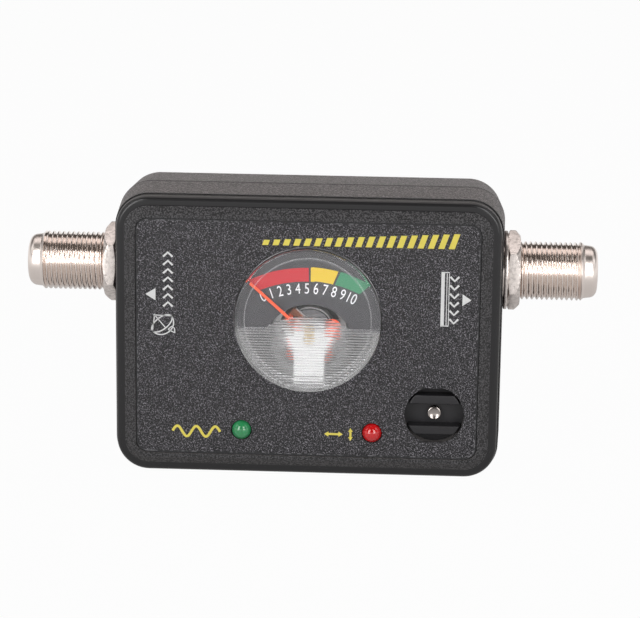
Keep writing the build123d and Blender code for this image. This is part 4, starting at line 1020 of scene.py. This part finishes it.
def floor_material():
    """Pale grey that shows as white, but less so near the object, whose shade metal and gloss show."""
    s = Shader("floor", (0.45, 0.45, 0.45), 0.9, Specular_IOR_Level=0.1)
    length = s.node("ShaderNodeVectorMath", operation="LENGTH")
    s.link(s.coords.outputs["Object"], length.inputs[0])
    reach = s.spread(length.outputs["Value"], SHADE_START * MM, SHADE_END * MM, GLOW_NEAR, GLOW_FAR)
    reach.node.interpolation_type = "SMOOTHSTEP"
    path = s.node("ShaderNodeLightPath")
    straight = s.math("MULTIPLY", path.outputs["Is Camera Ray"], GLOW_FAR)
    share = s.math("MULTIPLY", seen_rays(s), s.math("MAXIMUM", reach, straight))
    glow = s.node("ShaderNodeEmission")
    glow.inputs["Color"].default_value = (1.0, 1.0, 1.0, 1.0)
    s.link(s.mix_shaders(share, s.main.outputs[0], glow.outputs[0]), s.out.inputs["Surface"])
    return s.mat


def floor():
    mesh = bpy.data.meshes.new("floor")
    corners = [(FLOOR_HALF * x, FLOOR_HALF * y, 0) for x, y in ((-1, -1), (1, -1), (1, 1), (-1, 1))]
    mesh.from_pydata(corners, [], [(0, 1, 2, 3)])
    mesh.materials.append(floor_material())
    obj = bpy.data.objects.new("floor", mesh)
    bpy.context.scene.collection.objects.link(obj)


def world():
    """A white backdrop up to a little above the horizon, under the dark ceiling of a studio."""
    made = bpy.data.worlds.new("studio")
    bpy.context.scene.world = made
    made.use_nodes = True
    n = Nodes(made.node_tree)
    back = n.tree.nodes["Background"]
    way = n.node("ShaderNodeTexCoord")
    split = n.node("ShaderNodeSeparateXYZ")
    n.link(way.outputs["Generated"], split.inputs["Vector"])
    sky = n.ramp(split.outputs["Z"], [(0.2, (1.0, 1.0, 1.0)), (0.34, (0.07, 0.065, 0.06))])
    n.link(sky, back.inputs["Color"])
    n.link(n.spread(seen_rays(n), 0.0, 1.0, 0.4, 1.0), back.inputs["Strength"])


def area_light(name, azimuth, elevation, distance, width, height, power, color=(1.0, 1.0, 1.0)):
    """A softbox at a bearing from the camera's side of the object (0 is straight in front), aimed at it."""
    turn = math.radians(azimuth)
    rise = math.radians(elevation)
    away = Vector((math.sin(turn) * math.cos(rise), -math.cos(turn) * math.cos(rise), math.sin(rise)))
    light = bpy.data.lights.new(name, "AREA")
    light.shape = "RECTANGLE"
    light.size = width
    light.size_y = height
    light.energy = power
    light.color = color
    obj = bpy.data.objects.new(name, light)
    bpy.context.scene.collection.objects.link(obj)
    obj.location = LIGHT_TARGET + away * distance
    obj.rotation_euler = (-away).to_track_quat("-Z", "Y").to_euler()


def camera():
    """The camera that the photograph's edges gave: its place, pitch, yaw and roll."""
    pitch, yaw, roll = (math.radians(angle) for angle in (CAMERA_PITCH, CAMERA_YAW, CAMERA_ROLL))
    forward = Vector((math.sin(yaw) * math.cos(pitch), math.cos(yaw) * math.cos(pitch), -math.sin(pitch)))
    level = Vector((math.cos(yaw), -math.sin(yaw), 0))
    upright = level.cross(forward)
    right = level * math.cos(roll) + upright * math.sin(roll)
    up = upright * math.cos(roll) - level * math.sin(roll)
    lens = bpy.data.cameras.new("camera")
    lens.sensor_width = 36.0
    lens.sensor_fit = "HORIZONTAL"
    lens.lens = CAMERA_LENS
    lens.clip_start = 0.01
    obj = bpy.data.objects.new("camera", lens)
    bpy.context.scene.collection.objects.link(obj)
    turn = Matrix((right, up, -forward)).transposed().to_4x4()
    obj.matrix_world = Matrix.Translation(at(*CAMERA_PLACE)) @ turn
    bpy.context.scene.camera = obj


floor()
world()
front_box = {"elevation": 24, "distance": 0.75, "width": 0.26, "height": 0.64}
fill_box = {"elevation": 37, "distance": 0.6, "width": 0.3, "height": 0.3, "power": 0.35}
area_light("left_softbox", azimuth=-33, power=2.7, **front_box)
area_light("right_softbox", azimuth=33, power=2.3, **front_box)
area_light(
    "top_softbox", azimuth=180, elevation=70, distance=0.6, width=0.9, height=0.34, power=1.15,
    color=(1.0, 0.95, 0.94),
)
area_light("left_fill", azimuth=-83, **fill_box)
area_light("right_fill", azimuth=83, **fill_box)
camera()

bpy.context.scene.view_settings.view_transform = "Standard"
